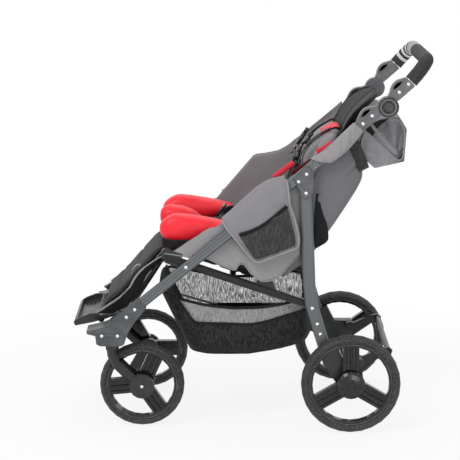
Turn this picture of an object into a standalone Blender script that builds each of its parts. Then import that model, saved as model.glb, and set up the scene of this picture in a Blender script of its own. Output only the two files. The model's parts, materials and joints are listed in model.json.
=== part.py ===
"""A folding special needs stroller, built piece by piece.

Metres, +Z up. The front of the stroller looks along -X and the rider's left side is at -Y. The wheels stand
on z = 0. Places in the side view are given by side(x, z), where x is counted from a point under the seat and
SIDE_VIEW_MIDDLE moves the middle of the stroller's length to x = 0.
"""

import math

import bmesh
import bpy
from mathutils import Matrix, Vector

# Overall layout
SIDE_VIEW_MIDDLE = 0.0560
GAP = 0.0003
CUT_PAST = 0.010
SIDES = {"left": -1, "right": 1}
ACROSS = Vector((0, 1, 0))

# Side tubes of the front frame: a flat oval, bent slightly at the pivot plate
TUBE_Y = 0.250
TUBE_TALL = 0.029
TUBE_WIDE = 0.022
TUBE_RIB = 0.0012
TUBE_FRONT = (-0.2675, 0.3575)
TUBE_BEND = (0.2050, 0.7400)
TUBE_REAR = (0.3800, 0.8950)

# Seat-base tubes, inside the side tubes
SEAT_TUBE_FRONT = (-0.1860, 0.5000)
SEAT_TUBE_REAR = (0.2360, 0.3570)
SEAT_TUBE_TALL = 0.022
SEAT_TUBE_WIDE = 0.018
SEAT_CROSS_AT = 0.46
SEAT_CROSS_RADIUS = 0.0098
SEAT_RIVET = (-0.1254, 0.4755)
EAR_SET = 0.001
EAR_FOOT = 0.036
EAR_BORE = 0.0062

# Plates that join the side tubes to the rear legs
PLATE_THICK = 0.005
PLATE_RIVETS = [(0.1932, 0.7231), (0.2157, 0.7445)]

# Rear legs
LEG_WIDE = 0.036
LEG_THICK = 0.022
LEG_PIVOT = (0.2146, 0.6902)
LEG_LOCK = (0.2350, 0.3560)
LEG_RIVETS = [LEG_LOCK, (0.2500, 0.3100), (0.2590, 0.2800)]
LEG_LINE = [LEG_PIVOT, (0.2200, 0.5700), (0.2262, 0.4200), (0.2330, 0.3650), (0.2560, 0.2880), (0.2880, 0.1850)]

# Rear wheels
REAR_RADIUS = 0.1425
REAR_TYRE_DEPTH = 0.0215
REAR_TYRE_WIDE = 0.045
REAR_HUB_X = 0.3455
REAR_WHEEL_Y = 0.290
REAR_CAP_RADIUS = 0.041

# Front wheels on casters
FRONT_RADIUS = 0.1225
FRONT_TYRE_DEPTH = 0.0185
FRONT_TYRE_WIDE = 0.040
FRONT_HUB_X = -0.2544
FRONT_WHEEL_Y = 0.214
CASTER_X = -0.3410
STEM_RADIUS = 0.008
STEM_LENGTH = 0.034
FORK_WIDE = 0.026
FORK_THICK = 0.013
FORK_HUB_RADIUS = 0.036
HUB_PLATE_STAND = 0.001
WHEEL_SIDE_GAP = 0.0035
CROWN_TALL = 0.014
BRACKET_BASE_Z = 0.2455
BRACKET_WALL = 0.0045
BRACKET_FOOT_HALF = 0.027
BAND_RISE = 0.031
BAND_RADIUS = 0.0042
BAND_SET = 0.0010
FOOT_OUTLINE_END = -0.285
FACE_SET = 0.0001
BAND_X = (-0.371, -0.318)
BAND_RIVET_X = (-0.367, -0.322)
BRACKET_RIVETS = [(-0.272, 0.353), (-0.296, 0.331)]
STEM_HEADROOM = 0.0015
FRONT_CROSS_AT = (-0.330, 0.2660)
FRONT_CROSS_RADIUS = 0.0095

# Axle brackets and foot brake
AXLE_BRACKET_Y = (0.2260, 0.2640)
BRAKE_PIVOT = (0.3720, 0.1920)
BRAKE_BAR = (0.4580, 0.2190)
BRAKE_BAR_RADIUS = 0.0080
BRAKE_ARM_Y = 0.2110
BRAKE_ARM_THICK = 0.0120
BRAKE_PIN_RADIUS = 0.0050
BRAKE_PIN_STAND = 0.0010
BRAKE_PIN_SET = 0.0040
BRAKE_LOBE_RADIUS = 0.015
BRAKE_EYE_RADIUS = 0.0145
BRAKE_BAR_SET = 0.0030
HUB_HUMP_RADIUS = 0.038
AXLE_TUBE_RADIUS = 0.0125
AXLE_END_INSET = 0.0040

# Shared wheel sizes
RIM_RING = 0.011
SPOKE_WIDE = 0.046
SPOKE_THICK = 0.022
SPOKE_GROOVE = 0.003
AXLE_RADIUS = 0.006
BORE_PLAY = 0.0004
HUB_RADIUS = 0.031
HUB_INSET = 0.0035
SPOKE_FROM = 0.020
SPOKE_SET = 0.0055
WHEEL_STEPS = 28

# Handle hinge and push handle
DISC_AT = (0.4438, 0.9337)
DISC_RADIUS = 0.030
ARM_ANGLE = math.radians(41.5)
ARM_RISE = 0.012
ARM_LENGTH = 0.094
ARM_HALF_TALL = 0.0165
ARM_WALL = 0.0022
LEAF_RISE = 0.0125
LEAF_LENGTH = 0.058
LEAF_SLOT = 0.0045
LEAF_FROM_END = 0.006
HINGE_PLAY = 0.0005
DISC_STAND = 0.002
DISC_ROOM = 0.0008
WELL_FLOOR = 0.0042
BAR_IN_ARM = 0.040
BAR_KNUCKLE = 0.100
ARM_RIVETS = (0.050, 0.084)
BUTTON_RADIUS = 0.0135
BUTTON_STAND = 0.0045
BUTTON_DEPTH = 0.007
BUTTON_EDGE = 0.0015
BUTTON_DISH = 0.0012
BAR_RADIUS = 0.0110
BAR_TOP = (0.5530, 1.0580)
BAR_BEND = 0.050
GRIP_RADIUS = 0.0165
GRIP_FROM_END = 0.062
GRIP_REACH = 0.12

# Seat, measured along and square to the seat-base tubes
SEAT_LENGTH = 0.264
SEAT_START = 0.016
SEAT_HALF_WIDE = 0.205
THIGH_PAD_INSET = 0.063
THIGH_PAD_Y = SEAT_HALF_WIDE - THIGH_PAD_INSET
SEAT_THICK = 0.034
SEAT_RISE = 0.027
KNEE_PAD_SINK = 0.0013
THIGH_PAD_SINK = 0.0022
PAD_STEPS = 14

# Backrest, measured up and square to its own line from the hip hinge
HIP = (0.1000, 0.4450)
BACK_ANGLE = math.radians(62.5)
BACK_HALF_WIDE = 0.172
BACK_FRAME_Y = 0.150
BACK_FRAME_BEHIND = 0.0216
BACK_FRAME_BEND = (0.430, 0.500)
BACK_FRAME_LEAN = 0.040
BACK_FRAME_RADIUS = 0.009
BACK_CUSHION_BEHIND = -0.004
BACK_CUSHION_THICK = 0.044
HEAD_HALF_WIDE = 0.158
HEAD_THICK = 0.034
HEAD_MIDDLE = (0.500, 0.0131)
HEAD_LEAN = 0.226
STRAP_WIDE = 0.024
STRAP_THICK = 0.003
STRAP_BEHIND = -0.0275
STRAP_APART = 0.048
STRAP_SPREAD = 0.06
BUCKLE_AT = (0.345, -0.0333, 0.0687)
BUCKLE_SIZE = (0.032, 0.046, 0.011)
SHELL_TO_LEG = 0.013
SHELL_HALF_WIDE = TUBE_Y - LEG_THICK / 2 - SHELL_TO_LEG
SHELL_SKIN = 0.0035
SHELL_EDGE_BEHIND = 0.024
SHELL_FOOT_BEHIND = 0.014
SHELL_EDGE_BEND = 0.05
SHELL_TURN = 0.70
SHELL_HALF_STEPS = 6

# Leg rest
KNEE = (-0.1810, 0.5083)
KNEE_BOSS_RADIUS = 0.0175
KNEE_JOINT_WALL = 0.004
KNEE_JOINT_SHORT = 0.0008
LEGREST_ROD_RADIUS = 0.008
LEGREST_PIPE_Y = 0.150
LEGREST_PIPE_END = (-0.2840, 0.3500)
PIPE_RADIUS = 0.0105
PIPE_BORE = 0.0074
LEGREST_ROD_SHORT = 0.001
LEGREST_BOSS_WIDE = 0.010
LEGREST_BOSS_RADIUS = 0.0150
PIPE_PAST_KNEE = 0.0123
PIPE_SOLID = 0.024
FOOT_ROD_RADIUS = 0.0068
FOOT_ROD_FROM = 0.055
FOOT_ROD_STRAIGHT = 0.022
FOOT_ROD_BEND = 0.020
FOOT_EYE_OUT = 0.0065
FOOT_EYE_RADIUS = 0.0105
CALF_HALF_WIDE = 0.172
CALF_THICK = 0.016
FOOT_HINGE = (-0.3760, 0.3020)
FOOTPLATE_SIDE_ROOM = 0.012
FOOTPLATE_HALF_WIDE = LEGREST_PIPE_Y - FOOTPLATE_SIDE_ROOM
FOOTPLATE_FLOOR = 0.007
FOOTPLATE_RIM = 0.008
FOOT_SOLE_DROP = 0.0105
FOOT_SLOTS = 4
FOOT_SLOT_FIRST = -0.436
FOOT_SLOT_PITCH = 0.0085
FOOT_SLOT_WIDE = 0.003
FOOT_SLOT_Y = (0.055, 0.105)

# Canopy
CANOPY_PIVOT = (0.3980, 0.8810)
CANOPY_MIDDLE = (0.437, 0.826)
CANOPY_HALF_WIDE = 0.212
POCKET_DEPTH = 0.040
BOW_RADIUS = 0.0045
BOW_PLAY = 0.0005
BOW_Y = 0.2195
BOW_CORNER = (0.4700, 0.7990)

# Fabric
CLOTH = 0.0040
PANEL_Y = 0.2355
PANEL_STEPS = 3
WING_Y = 0.2307
WING_ROWS = 3
FLAP_Y = 0.2672
FLAP_BELLY = 0.006
FLAP_OVER = 0.016
FLAP_RISE = 0.005
FLAP_SET = 0.001
SLEEVE_THICK = 0.0050
SLEEVE_REACH = (0.29, 0.80)
BASKET_HALF_WIDE = 0.2204
BASKET_WALL = 0.004
BASKET_RIM = (0.395, 0.378)
BASKET_RIM_X = (-0.196, 0.232)
BASKET_SAG = 0.034
BASKET_END_SAG = 0.012
BASKET_FLOOR = 0.204
BASKET_HEEL = 0.026
BASKET_HEEL_X = (0.060, 0.230)

# Rivets and screws
RIVET_RADIUS = 0.0048
RIVET_HEIGHT = 0.0024
RIVET_SET = 0.0010
RIVET_STEPS = 8


def side(x, z, y=0.0):
    """The point at (x, z) of the side view and at y across the stroller."""
    return Vector((x - SIDE_VIEW_MIDDLE, y, z))


def flat(point, y=0.0):
    """A named side view point as a vector."""
    return side(point[0], point[1], y)


def along(start, end, share):
    """The point a share of the way from start to end."""
    return start + (end - start) * share


def material(name, colour, roughness, metallic=0.0):
    """A Principled material, made once for each name."""
    made = bpy.data.materials.get(name)
    if made is None:
        made = bpy.data.materials.new(name)
        made.use_nodes = True
        shader = made.node_tree.nodes["Principled BSDF"]
        shader.inputs["Base Color"].default_value = (*colour, 1.0)
        shader.inputs["Roughness"].default_value = roughness
        shader.inputs["Metallic"].default_value = metallic
    return made


def painted():
    return material("grey_painted_aluminium", (0.115, 0.130, 0.133), 0.42, 0.35)


def black_tube():
    return material("black_painted_steel", (0.022, 0.022, 0.024), 0.40, 0.30)


def black_plastic():
    return material("black_plastic", (0.030, 0.031, 0.034), 0.50)


def gloss_plastic():
    return material("gloss_plastic", (0.015, 0.015, 0.017), 0.22)


def hinge_plastic():
    return material("hinge_plastic", (0.070, 0.075, 0.080), 0.45)


def tyre_foam():
    return material("tyre_foam", (0.055, 0.056, 0.058), 0.85)


def grip_foam():
    return material("grip_foam", (0.040, 0.040, 0.042), 0.92)


def grey_cloth():
    return material("grey_cloth", (0.205, 0.200, 0.210), 0.90)


def black_cloth():
    return material("black_cloth", (0.040, 0.040, 0.042), 0.90)


def red_vinyl():
    return material("red_vinyl", (0.85, 0.030, 0.050), 0.35)


def net_cloth():
    return material("net_cloth", (0.10, 0.10, 0.10), 0.95)


def named(name, mesh, look, smooth=40.0):
    """A new object in the scene, smooth except at edges sharper than the given angle."""
    mesh.name = name
    made = bpy.data.objects.new(name, mesh)
    bpy.context.scene.collection.objects.link(made)
    mesh.materials.clear()
    mesh.materials.append(look)
    if smooth:
        mesh.shade_smooth()
        mesh.set_sharp_from_angle(angle=math.radians(smooth))
    return made


def to_mesh(bm):
    """The bmesh as a mesh with its faces turned outwards."""
    bmesh.ops.recalc_face_normals(bm, faces=bm.faces)
    mesh = bpy.data.meshes.new("shape")
    bm.to_mesh(mesh)
    bm.free()
    return mesh


def loft(rings):
    """A closed body through rings of equally many points, capped at both ends."""
    bm = bmesh.new()
    loops = [[bm.verts.new(point) for point in ring] for ring in rings]
    for low, high in zip(loops, loops[1:]):
        for i in range(len(low)):
            j = (i + 1) % len(low)
            bm.faces.new((low[i], low[j], high[j], high[i]))
    bm.faces.new(loops[0][::-1])
    bm.faces.new(loops[-1])
    return to_mesh(bm)


def extruded(outline, y_from, y_to):
    """A side view outline of (x, z) points drawn out from one y to the other."""
    bm = bmesh.new()
    base = bm.faces.new([bm.verts.new(side(x, z, y_from)) for x, z in outline])
    grown = bmesh.ops.extrude_face_region(bm, geom=[base])
    for vert in (item for item in grown["geom"] if isinstance(item, bmesh.types.BMVert)):
        vert.co.y = y_to
    return to_mesh(bm)


def turned(profile, centre, steps=WHEEL_STEPS, axis=ACROSS, first=Vector((0, 0, -1))):
    """A (radius, offset) profile turned about an axis through the centre, closed at a radius of 0."""
    bm = bmesh.new()
    points = [bm.verts.new(centre + first * r + axis * h) for r, h in profile]
    edges = [bm.edges.new(pair) for pair in zip(points, points[1:])]
    if profile[0][0] > 0 or profile[-1][0] > 0:
        edges.append(bm.edges.new((points[-1], points[0])))
    bmesh.ops.spin(bm, geom=points + edges, cent=centre, axis=axis, angle=2 * math.pi, steps=steps)
    bmesh.ops.remove_doubles(bm, verts=bm.verts, dist=0.00002)
    return to_mesh(bm)


def rod(start, end, radius, sides=12):
    """A round bar between two points."""
    line = end - start
    profile = [(0, 0), (radius, 0), (radius, line.length), (0, line.length)]
    return turned(profile, start, sides, line.normalized(), line.orthogonal().normalized())


def sweep(path, section, extra=0.0):
    """A section of (normal, across) points carried along a path in the side view.

    extra widens the section all round, for a socket that takes the swept bar.
    """
    rings = []
    for i, point in enumerate(path):
        before, after = path[max(i - 1, 0)], path[min(i + 1, len(path) - 1)]
        ahead = (after - before).normalized()
        normal = Vector((-ahead.z, 0, ahead.x))
        inner = (point - before).normalized() if i else ahead
        stretch = 1 / max(normal.dot(Vector((-inner.z, 0, inner.x))), 0.5)
        ring = []
        for a, b in section:
            grow = 1 + extra / max(math.hypot(a, b), 1e-6)
            ring.append(point + normal * a * grow * stretch + Vector((0, b * grow, 0)))
        rings.append(ring)
    return loft(rings)


def oval(tall, wide, arc_steps=3):
    """A flat oval section with its long side along the normal."""
    radius = wide / 2
    middle = tall / 2 - radius
    points = []
    for end, turn in ((1, 0.0), (-1, math.pi)):
        for k in range(arc_steps + 1):
            angle = turn + math.pi * k / arc_steps
            points.append((end * middle + radius * math.sin(angle), radius * math.cos(angle)))
    return points


def ribbed(tall, wide, rib):
    """A rounded section with two shallow grooves along each flat side, as an extruded frame tube has."""
    half, out = tall / 2, wide / 2
    corner = out * 0.45
    flank = [(half - corner, out), (half * 0.45, out), (half * 0.30, out - rib), (half * 0.12, out)]
    top = [(half, -out + corner), (half, out - corner)]
    right = flank + [(-a, b) for a, b in reversed(flank)]
    bottom = [(-a, -b) for a, b in top]
    left = [(-a, -b) for a, b in right]
    return top + right + bottom + left


def pad(centres, across, half_wide, half_thick, power=2.6, steps=16, pinch=0.0):
    """A stuffed pad lofted along centres, with rounded long edges and pulled-in ends.

    across is the width's direction; half_wide and half_thick give one size for each centre. pinch draws the
    sides in between the ends.
    """
    rings = []
    last = len(centres) - 1
    for i, centre in enumerate(centres):
        before, after = centres[max(i - 1, 0)], centres[min(i + 1, last)]
        normal = across.cross((after - before).normalized())
        draw = 1 - pinch * math.sin(math.pi * i / last)
        ring = []
        for k in range(steps):
            angle = 2 * math.pi * k / steps
            c, s = math.cos(angle), math.sin(angle)
            u = math.copysign(abs(c) ** (2 / power), c) * half_wide[i] * draw
            v = math.copysign(abs(s) ** (2 / power), s) * half_thick[i]
            ring.append(centre + across * u + normal * v)
        rings.append(ring)
    return loft(rings)


def bend_path(corners, radius, steps=4):
    """Straight runs through the corners, with each inner corner rounded to the radius."""
    points = [corners[0]]
    for before, corner, after in zip(corners, corners[1:], corners[2:]):
        come, go = (corner - before).normalized(), (after - corner).normalized()
        half = come.angle(go) / 2
        reach = radius * math.tan(half)
        start = corner - come * reach
        inward = (go - come).normalized()
        centre = corner + inward * (radius / math.cos(half))
        normal = come.cross(go).normalized()
        for k in range(steps + 1):
            turn = Matrix.Rotation(2 * half * k / steps, 3, normal)
            points.append(centre + turn @ (start - centre))
    points.append(corners[-1])
    return points


def round_tube(name, points, radius, look, resolution=2):
    """A round tube along a path, as a curve with filled caps."""
    curve = bpy.data.curves.new(name, "CURVE")
    curve.dimensions = "3D"
    curve.bevel_depth = radius
    curve.bevel_resolution = resolution
    curve.use_fill_caps = True
    spline = curve.splines.new("POLY")
    spline.points.add(len(points) - 1)
    for item, point in zip(spline.points, points):
        item.co = (*point, 1.0)
    curve.materials.append(look)
    made = bpy.data.objects.new(name, curve)
    bpy.context.scene.collection.objects.link(made)
    return made


def evaluated(made):
    """The object's mesh with its modifiers applied."""
    bpy.context.view_layer.update()
    graph = bpy.context.evaluated_depsgraph_get()
    return bpy.data.meshes.new_from_object(made.evaluated_get(graph))


def combine(mesh, others, operation, solver):
    """The mesh joined with the others, or cut by them, as one new mesh."""
    base = bpy.data.objects.new("base", mesh)
    bpy.context.scene.collection.objects.link(base)
    tools = []
    for other in others:
        tool = bpy.data.objects.new("tool", other)
        bpy.context.scene.collection.objects.link(tool)
        step = base.modifiers.new("step", "BOOLEAN")
        step.operation = operation
        step.solver = solver
        step.object = tool
        tools.append(tool)
    result = evaluated(base)
    for spare in [base, *tools]:
        bpy.data.objects.remove(spare)
    return result


def fused(mesh, *others, solver="EXACT"):
    return combine(mesh, others, "UNION", solver)


def cut(mesh, *others, solver="EXACT"):
    return combine(mesh, others, "DIFFERENCE", solver)


def softened(mesh, width, angle=50.0):
    """The mesh with its sharp edges bevelled."""
    made = bpy.data.objects.new("soft", mesh)
    bpy.context.scene.collection.objects.link(made)
    soft = made.modifiers.new("soft_edges", "BEVEL")
    soft.width = width
    soft.segments = 1
    soft.limit_method = "ANGLE"
    soft.angle_limit = math.radians(angle)
    result = evaluated(made)
    bpy.data.objects.remove(made)
    return result


def sheet(name, grid, thickness, look):
    """Cloth through a grid of points, thickened evenly by a Solidify modifier."""
    bm = bmesh.new()
    rows = [[bm.verts.new(point) for point in row] for row in grid]
    for low, high in zip(rows, rows[1:]):
        for i in range(len(low) - 1):
            bm.faces.new((low[i], low[i + 1], high[i + 1], high[i]))
    bmesh.ops.recalc_face_normals(bm, faces=bm.faces)
    mesh = bpy.data.meshes.new(name)
    bm.to_mesh(mesh)
    bm.free()
    made = named(name, mesh, look, smooth=60.0)
    thick = made.modifiers.new("cloth", "SOLIDIFY")
    thick.thickness = thickness
    thick.offset = 0.0
    thick.use_even_offset = True
    return made


def rivet(point, face):
    """A domed rivet head set into a side face; face is -1 or 1 along Y."""
    profile = [(0, -RIVET_SET), (RIVET_RADIUS, -RIVET_SET), (RIVET_RADIUS, RIVET_HEIGHT * 0.4),
               (RIVET_RADIUS * 0.7, RIVET_HEIGHT), (0, RIVET_HEIGHT)]
    return turned(profile, point, RIVET_STEPS, Vector((0, face, 0)))


def tube_path():
    return [flat(TUBE_FRONT), flat(TUBE_BEND), flat(TUBE_REAR)]


def shifted(path, y):
    return [point + Vector((0, y, 0)) for point in path]


def seat_point(run, rise, y=0.0):
    """A point measured back from the knee along the seat-base tube and up square to it."""
    start, end = flat(SEAT_TUBE_FRONT), flat(SEAT_TUBE_REAR)
    line = (end - start).normalized()
    return start + line * run + Vector((-line.z, 0, line.x)) * rise + Vector((0, y, 0))


def back_point(up, behind, y=0.0):
    """A point measured up the backrest from the hip hinge and square to it towards the rear."""
    line = Vector((math.cos(BACK_ANGLE), 0, math.sin(BACK_ANGLE)))
    return flat(HIP) + line * up + Vector((line.z, 0, -line.x)) * behind + Vector((0, y, 0))


def seat_tube_y():
    """The seat-base tube's middle, one gap inside the side tube."""
    return TUBE_Y - TUBE_WIDE / 2 - GAP - SEAT_TUBE_WIDE / 2


def make_side_tubes():
    section = ribbed(TUBE_TALL, TUBE_WIDE, TUBE_RIB)
    for word, hand in SIDES.items():
        bar = sweep(shifted(tube_path(), hand * TUBE_Y), section)
        head = rivet(side(*SEAT_RIVET, hand * (TUBE_Y + TUBE_WIDE / 2)), hand)
        named(f"side_tube_{word}", fused(bar, head), painted(), 30.0)


def make_seat_tubes():
    """Black ribbed tubes under the seat, each with an ear that carries the backrest hinge."""
    y = seat_tube_y()
    for word, hand in SIDES.items():
        path = shifted([flat(SEAT_TUBE_FRONT), flat(SEAT_TUBE_REAR)], hand * y)
        bar = sweep(path, ribbed(SEAT_TUBE_TALL, SEAT_TUBE_WIDE, TUBE_RIB))
        inner = y - SEAT_TUBE_WIDE / 2 + EAR_SET
        outer = PANEL_Y - CLOTH / 2 - GAP
        ear = [(HIP[0] - EAR_FOOT, HIP[1] - 0.040), (HIP[0] - 0.012, HIP[1] + 0.010), (HIP[0], HIP[1] + 0.014),
               (HIP[0] + 0.012, HIP[1] + 0.010), (HIP[0] + EAR_FOOT, HIP[1] - 0.052)]
        bore = rod(flat(HIP, hand * (inner - CUT_PAST)), flat(HIP, hand * (outer + CUT_PAST)), EAR_BORE)
        shape = cut(fused(bar, extruded(ear, hand * inner, hand * outer)), bore)
        named(f"seat_base_tube_{word}", shape, black_tube(), 30.0)
    cross = SEAT_CROSS_AT * (flat(SEAT_TUBE_REAR) - flat(SEAT_TUBE_FRONT)).length
    reach = y - SEAT_TUBE_WIDE / 2 - GAP
    ends = [seat_point(cross, 0, -reach), seat_point(cross, 0, reach)]
    named("seat_cross_tube", rod(*ends, SEAT_CROSS_RADIUS), black_tube())


def knee_joint_inner():
    """The inner face of the knee joint blocks, which the leg rest turns between."""
    return seat_tube_y() - SEAT_TUBE_WIDE / 2 - KNEE_JOINT_WALL


def make_knee_joints():
    """Moulded blocks over the front ends of the seat-base tubes, with a round boss on the knee axis."""
    y_in = knee_joint_inner()
    y_out = seat_tube_y() + SEAT_TUBE_WIDE / 2 - KNEE_JOINT_SHORT
    for word, hand in SIDES.items():
        boss = rod(flat(KNEE, hand * y_in), flat(KNEE, hand * y_out), KNEE_BOSS_RADIUS, 16)
        body = [(KNEE[0] - 0.004, KNEE[1] + 0.017), (KNEE[0] + 0.046, KNEE[1] + 0.001),
                (KNEE[0] + 0.038, KNEE[1] - 0.040), (KNEE[0] - 0.006, KNEE[1] - 0.024)]
        block = fused(boss, extruded(body, hand * y_in, hand * y_out))
        path = [flat(SEAT_TUBE_FRONT), flat(SEAT_TUBE_REAR)]
        reach = [path[0] - (path[1] - path[0]) * 0.002, path[1]]
        section = ribbed(SEAT_TUBE_TALL, SEAT_TUBE_WIDE, 0.0)
        socket = sweep(shifted(reach, hand * seat_tube_y()), section, 2 * GAP)
        named(f"knee_joint_{word}", cut(block, socket), black_plastic())


def bracket_outline():
    base = BRACKET_BASE_Z
    return [(-0.262, 0.384), (-0.240, 0.356), (-0.270, 0.320), (-0.293, 0.284), (-0.303, base + 0.006),
            (-0.312, base), (-0.372, base), (-0.383, base + 0.006), (-0.386, base + 0.030),
            (-0.410, base + 0.036), (-0.411, base + 0.044), (-0.384, base + 0.050), (-0.352, 0.305),
            (-0.318, 0.336)]


def make_front_brackets():
    """Moulded caster housings: a socket for the side tube above a wide foot that holds the caster's stem."""
    inner = FRONT_WHEEL_Y - BRACKET_FOOT_HALF
    outer = TUBE_Y + TUBE_WIDE / 2 + BRACKET_WALL
    band_z = BRACKET_BASE_Z + BAND_RISE
    for word, hand in SIDES.items():
        foot_outline = [point for point in bracket_outline() if point[0] < FOOT_OUTLINE_END]
        foot = extruded(foot_outline, hand * inner, hand * (outer - FACE_SET))
        wall = extruded(bracket_outline(), hand * (TUBE_Y - TUBE_WIDE / 2 - BRACKET_WALL), hand * outer)
        stop = flat(TUBE_FRONT) + (flat(TUBE_FRONT) - flat(TUBE_BEND)).normalized() * 2 * GAP
        section = ribbed(TUBE_TALL, TUBE_WIDE, 0.0)
        tube = sweep(shifted([stop, flat(TUBE_BEND)], hand * TUBE_Y), section, 2 * GAP)
        low = side(CASTER_X, BRACKET_BASE_Z - CUT_PAST, hand * FRONT_WHEEL_Y)
        bore_length = CUT_PAST + STEM_LENGTH + STEM_HEADROOM
        bore = rod(low, low + Vector((0, 0, bore_length)), STEM_RADIUS + BORE_PLAY, 16)
        band_y = hand * (outer - BAND_SET)
        band = rod(side(BAND_X[0], band_z, band_y), side(BAND_X[1], band_z, band_y), BAND_RADIUS, 8)
        shape = fused(cut(fused(wall, foot), tube, bore), band)
        heads = [rivet(side(x, z, hand * outer), hand) for x, z in BRACKET_RIVETS]
        crest = hand * (outer - BAND_SET + BAND_RADIUS)
        heads += [rivet(side(x, band_z, crest), hand) for x in BAND_RIVET_X]
        named(f"front_bracket_{word}", fused(shape, *heads), black_plastic())
    reach = inner - GAP
    cross = rod(flat(FRONT_CROSS_AT, -reach), flat(FRONT_CROSS_AT, reach), FRONT_CROSS_RADIUS)
    named("front_cross_tube", cross, black_tube())


def make_pivot_plates():
    """Riveted plates that join each side tube to its rear leg."""
    outline = [(0.178, 0.731), (0.211, 0.769), (0.226, 0.765), (0.236, 0.748), (0.238, 0.715), (0.232, 0.684),
               (0.2146, 0.6715), (0.201, 0.679), (0.199, 0.694), (0.188, 0.711)]
    for word, hand in SIDES.items():
        face = TUBE_Y + TUBE_WIDE / 2 + GAP
        outer = hand * (face + PLATE_THICK)
        plate = softened(extruded(outline, hand * face, outer), 0.0015)
        heads = [rivet(side(x, z, outer), hand) for x, z in (*PLATE_RIVETS, LEG_PIVOT)]
        named(f"pivot_plate_{word}", fused(plate, *heads), hinge_plastic())


def arm_frame():
    """The hinge disc's centre, the arms' direction and the direction square to it."""
    ahead = Vector((math.cos(ARM_ANGLE), 0, math.sin(ARM_ANGLE)))
    return flat(DISC_AT), ahead, Vector((-ahead.z, 0, ahead.x))


def on_arm(points, turn):
    """Side view points from (run, rise) ones on a hinge arm; turn is 1 for the upper arm, -1 for the lower."""
    middle, ahead, square = arm_frame()
    placed = [middle + ahead * run * turn + square * rise for run, rise in points]
    return [(point.x + SIDE_VIEW_MIDDLE, point.z) for point in placed]


def arm_outline(turn):
    """One hinge arm seen from the side, with its leaf-shaped rib."""
    low = ARM_RISE - ARM_HALF_TALL
    high = ARM_RISE + ARM_HALF_TALL
    points = [(0.018, low + 0.004), (0.034, low), (ARM_LENGTH, low), (ARM_LENGTH, high)]
    leaf_end = ARM_LENGTH - LEAF_FROM_END
    for k in range(1, 6):
        share = k / 6
        points.append((leaf_end - LEAF_LENGTH * share, high + LEAF_RISE * math.sin(math.pi * share) ** 0.8))
    points.append((leaf_end - LEAF_LENGTH, high))
    points.append((0.012, high - 0.008))
    return on_arm(points, turn)


def leaf_slot(turn):
    """The long slot through the leaf-shaped rib."""
    high = ARM_RISE + ARM_HALF_TALL
    leaf_end = ARM_LENGTH - LEAF_FROM_END
    start, end = leaf_end - LEAF_LENGTH * 0.82, leaf_end - LEAF_LENGTH * 0.20
    points = []
    for k in range(5):
        share = k / 4
        crown = LEAF_SLOT * math.sin(math.pi * share) * 1.4
        points.append((start + (end - start) * share, high + 0.0012 + crown))
    for k in range(1, 4):
        share = 1 - k / 4
        points.append((start + (end - start) * share, high - 0.0008 - 0.002 * math.sin(math.pi * share)))
    return on_arm(points, turn)


def handle_path():
    """The push handle's middle line: out of one arm, across and into the other."""
    middle, ahead, square = arm_frame()
    start = middle + ahead * BAR_IN_ARM + square * ARM_RISE
    knuckle = middle + ahead * BAR_KNUCKLE + square * ARM_RISE
    top = flat(BAR_TOP)
    y = Vector((0, TUBE_Y, 0))
    return bend_path([start - y, knuckle - y, top - y, top + y, knuckle + y, start + y], BAR_BEND, 4)


def arm_half():
    """Half the width of a hinge arm, which takes the side tube between its walls."""
    return TUBE_WIDE / 2 + ARM_WALL + HINGE_PLAY


def hinge_blank(hand, turn):
    """A hinge arm with its half of the disc and its leaf's slot, before the bore or socket is cut."""
    half = arm_half()
    inner, outer = TUBE_Y - half, TUBE_Y + half
    body = extruded(arm_outline(turn), hand * inner, hand * outer)
    split = TUBE_Y - turn * GAP / 2
    if turn < 0:
        far, other = outer + DISC_STAND, inner - CUT_PAST
    else:
        far, other = inner, outer + CUT_PAST
    disc = rod(flat(DISC_AT, hand * split), flat(DISC_AT, hand * far), DISC_RADIUS, 24)
    past_split = split - turn * FACE_SET * 2
    room = rod(flat(DISC_AT, hand * past_split), flat(DISC_AT, hand * other), DISC_RADIUS + DISC_ROOM, 24)
    plate = fused(cut(body, room, solver="MANIFOLD"), disc, solver="MANIFOLD")
    return plate, extruded(leaf_slot(turn), hand * (inner - CUT_PAST), hand * (outer + CUT_PAST))


def lower_arm(hand):
    """The arm on the side tube, with the tube's socket and the button's well."""
    plate, slot = hinge_blank(hand, -1)
    bend, rear = flat(TUBE_BEND), flat(TUBE_REAR)
    reach = [bend, rear + (rear - bend).normalized() * GAP]
    socket = sweep(shifted(reach, hand * TUBE_Y), ribbed(TUBE_TALL, TUBE_WIDE, 0.0), 2 * GAP)
    face = TUBE_Y + arm_half() + DISC_STAND
    floor = face - BUTTON_DEPTH - WELL_FLOOR
    ends = flat(DISC_AT, hand * (face + CUT_PAST)), flat(DISC_AT, hand * floor)
    well = rod(*ends, BUTTON_RADIUS + HINGE_PLAY, 16)
    return cut(plate, slot, socket, well, solver="MANIFOLD")


def upper_arm(hand):
    """The arm on the push handle, with the bar's bore."""
    plate, slot = hinge_blank(hand, 1)
    middle, ahead, square = arm_frame()
    start = middle + ahead * BAR_IN_ARM + square * ARM_RISE + Vector((0, hand * TUBE_Y, 0))
    bore = rod(start - ahead * GAP, start + ahead * BAR_KNUCKLE, BAR_RADIUS + 2 * GAP, 16)
    return cut(plate, slot, bore, solver="MANIFOLD")


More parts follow.
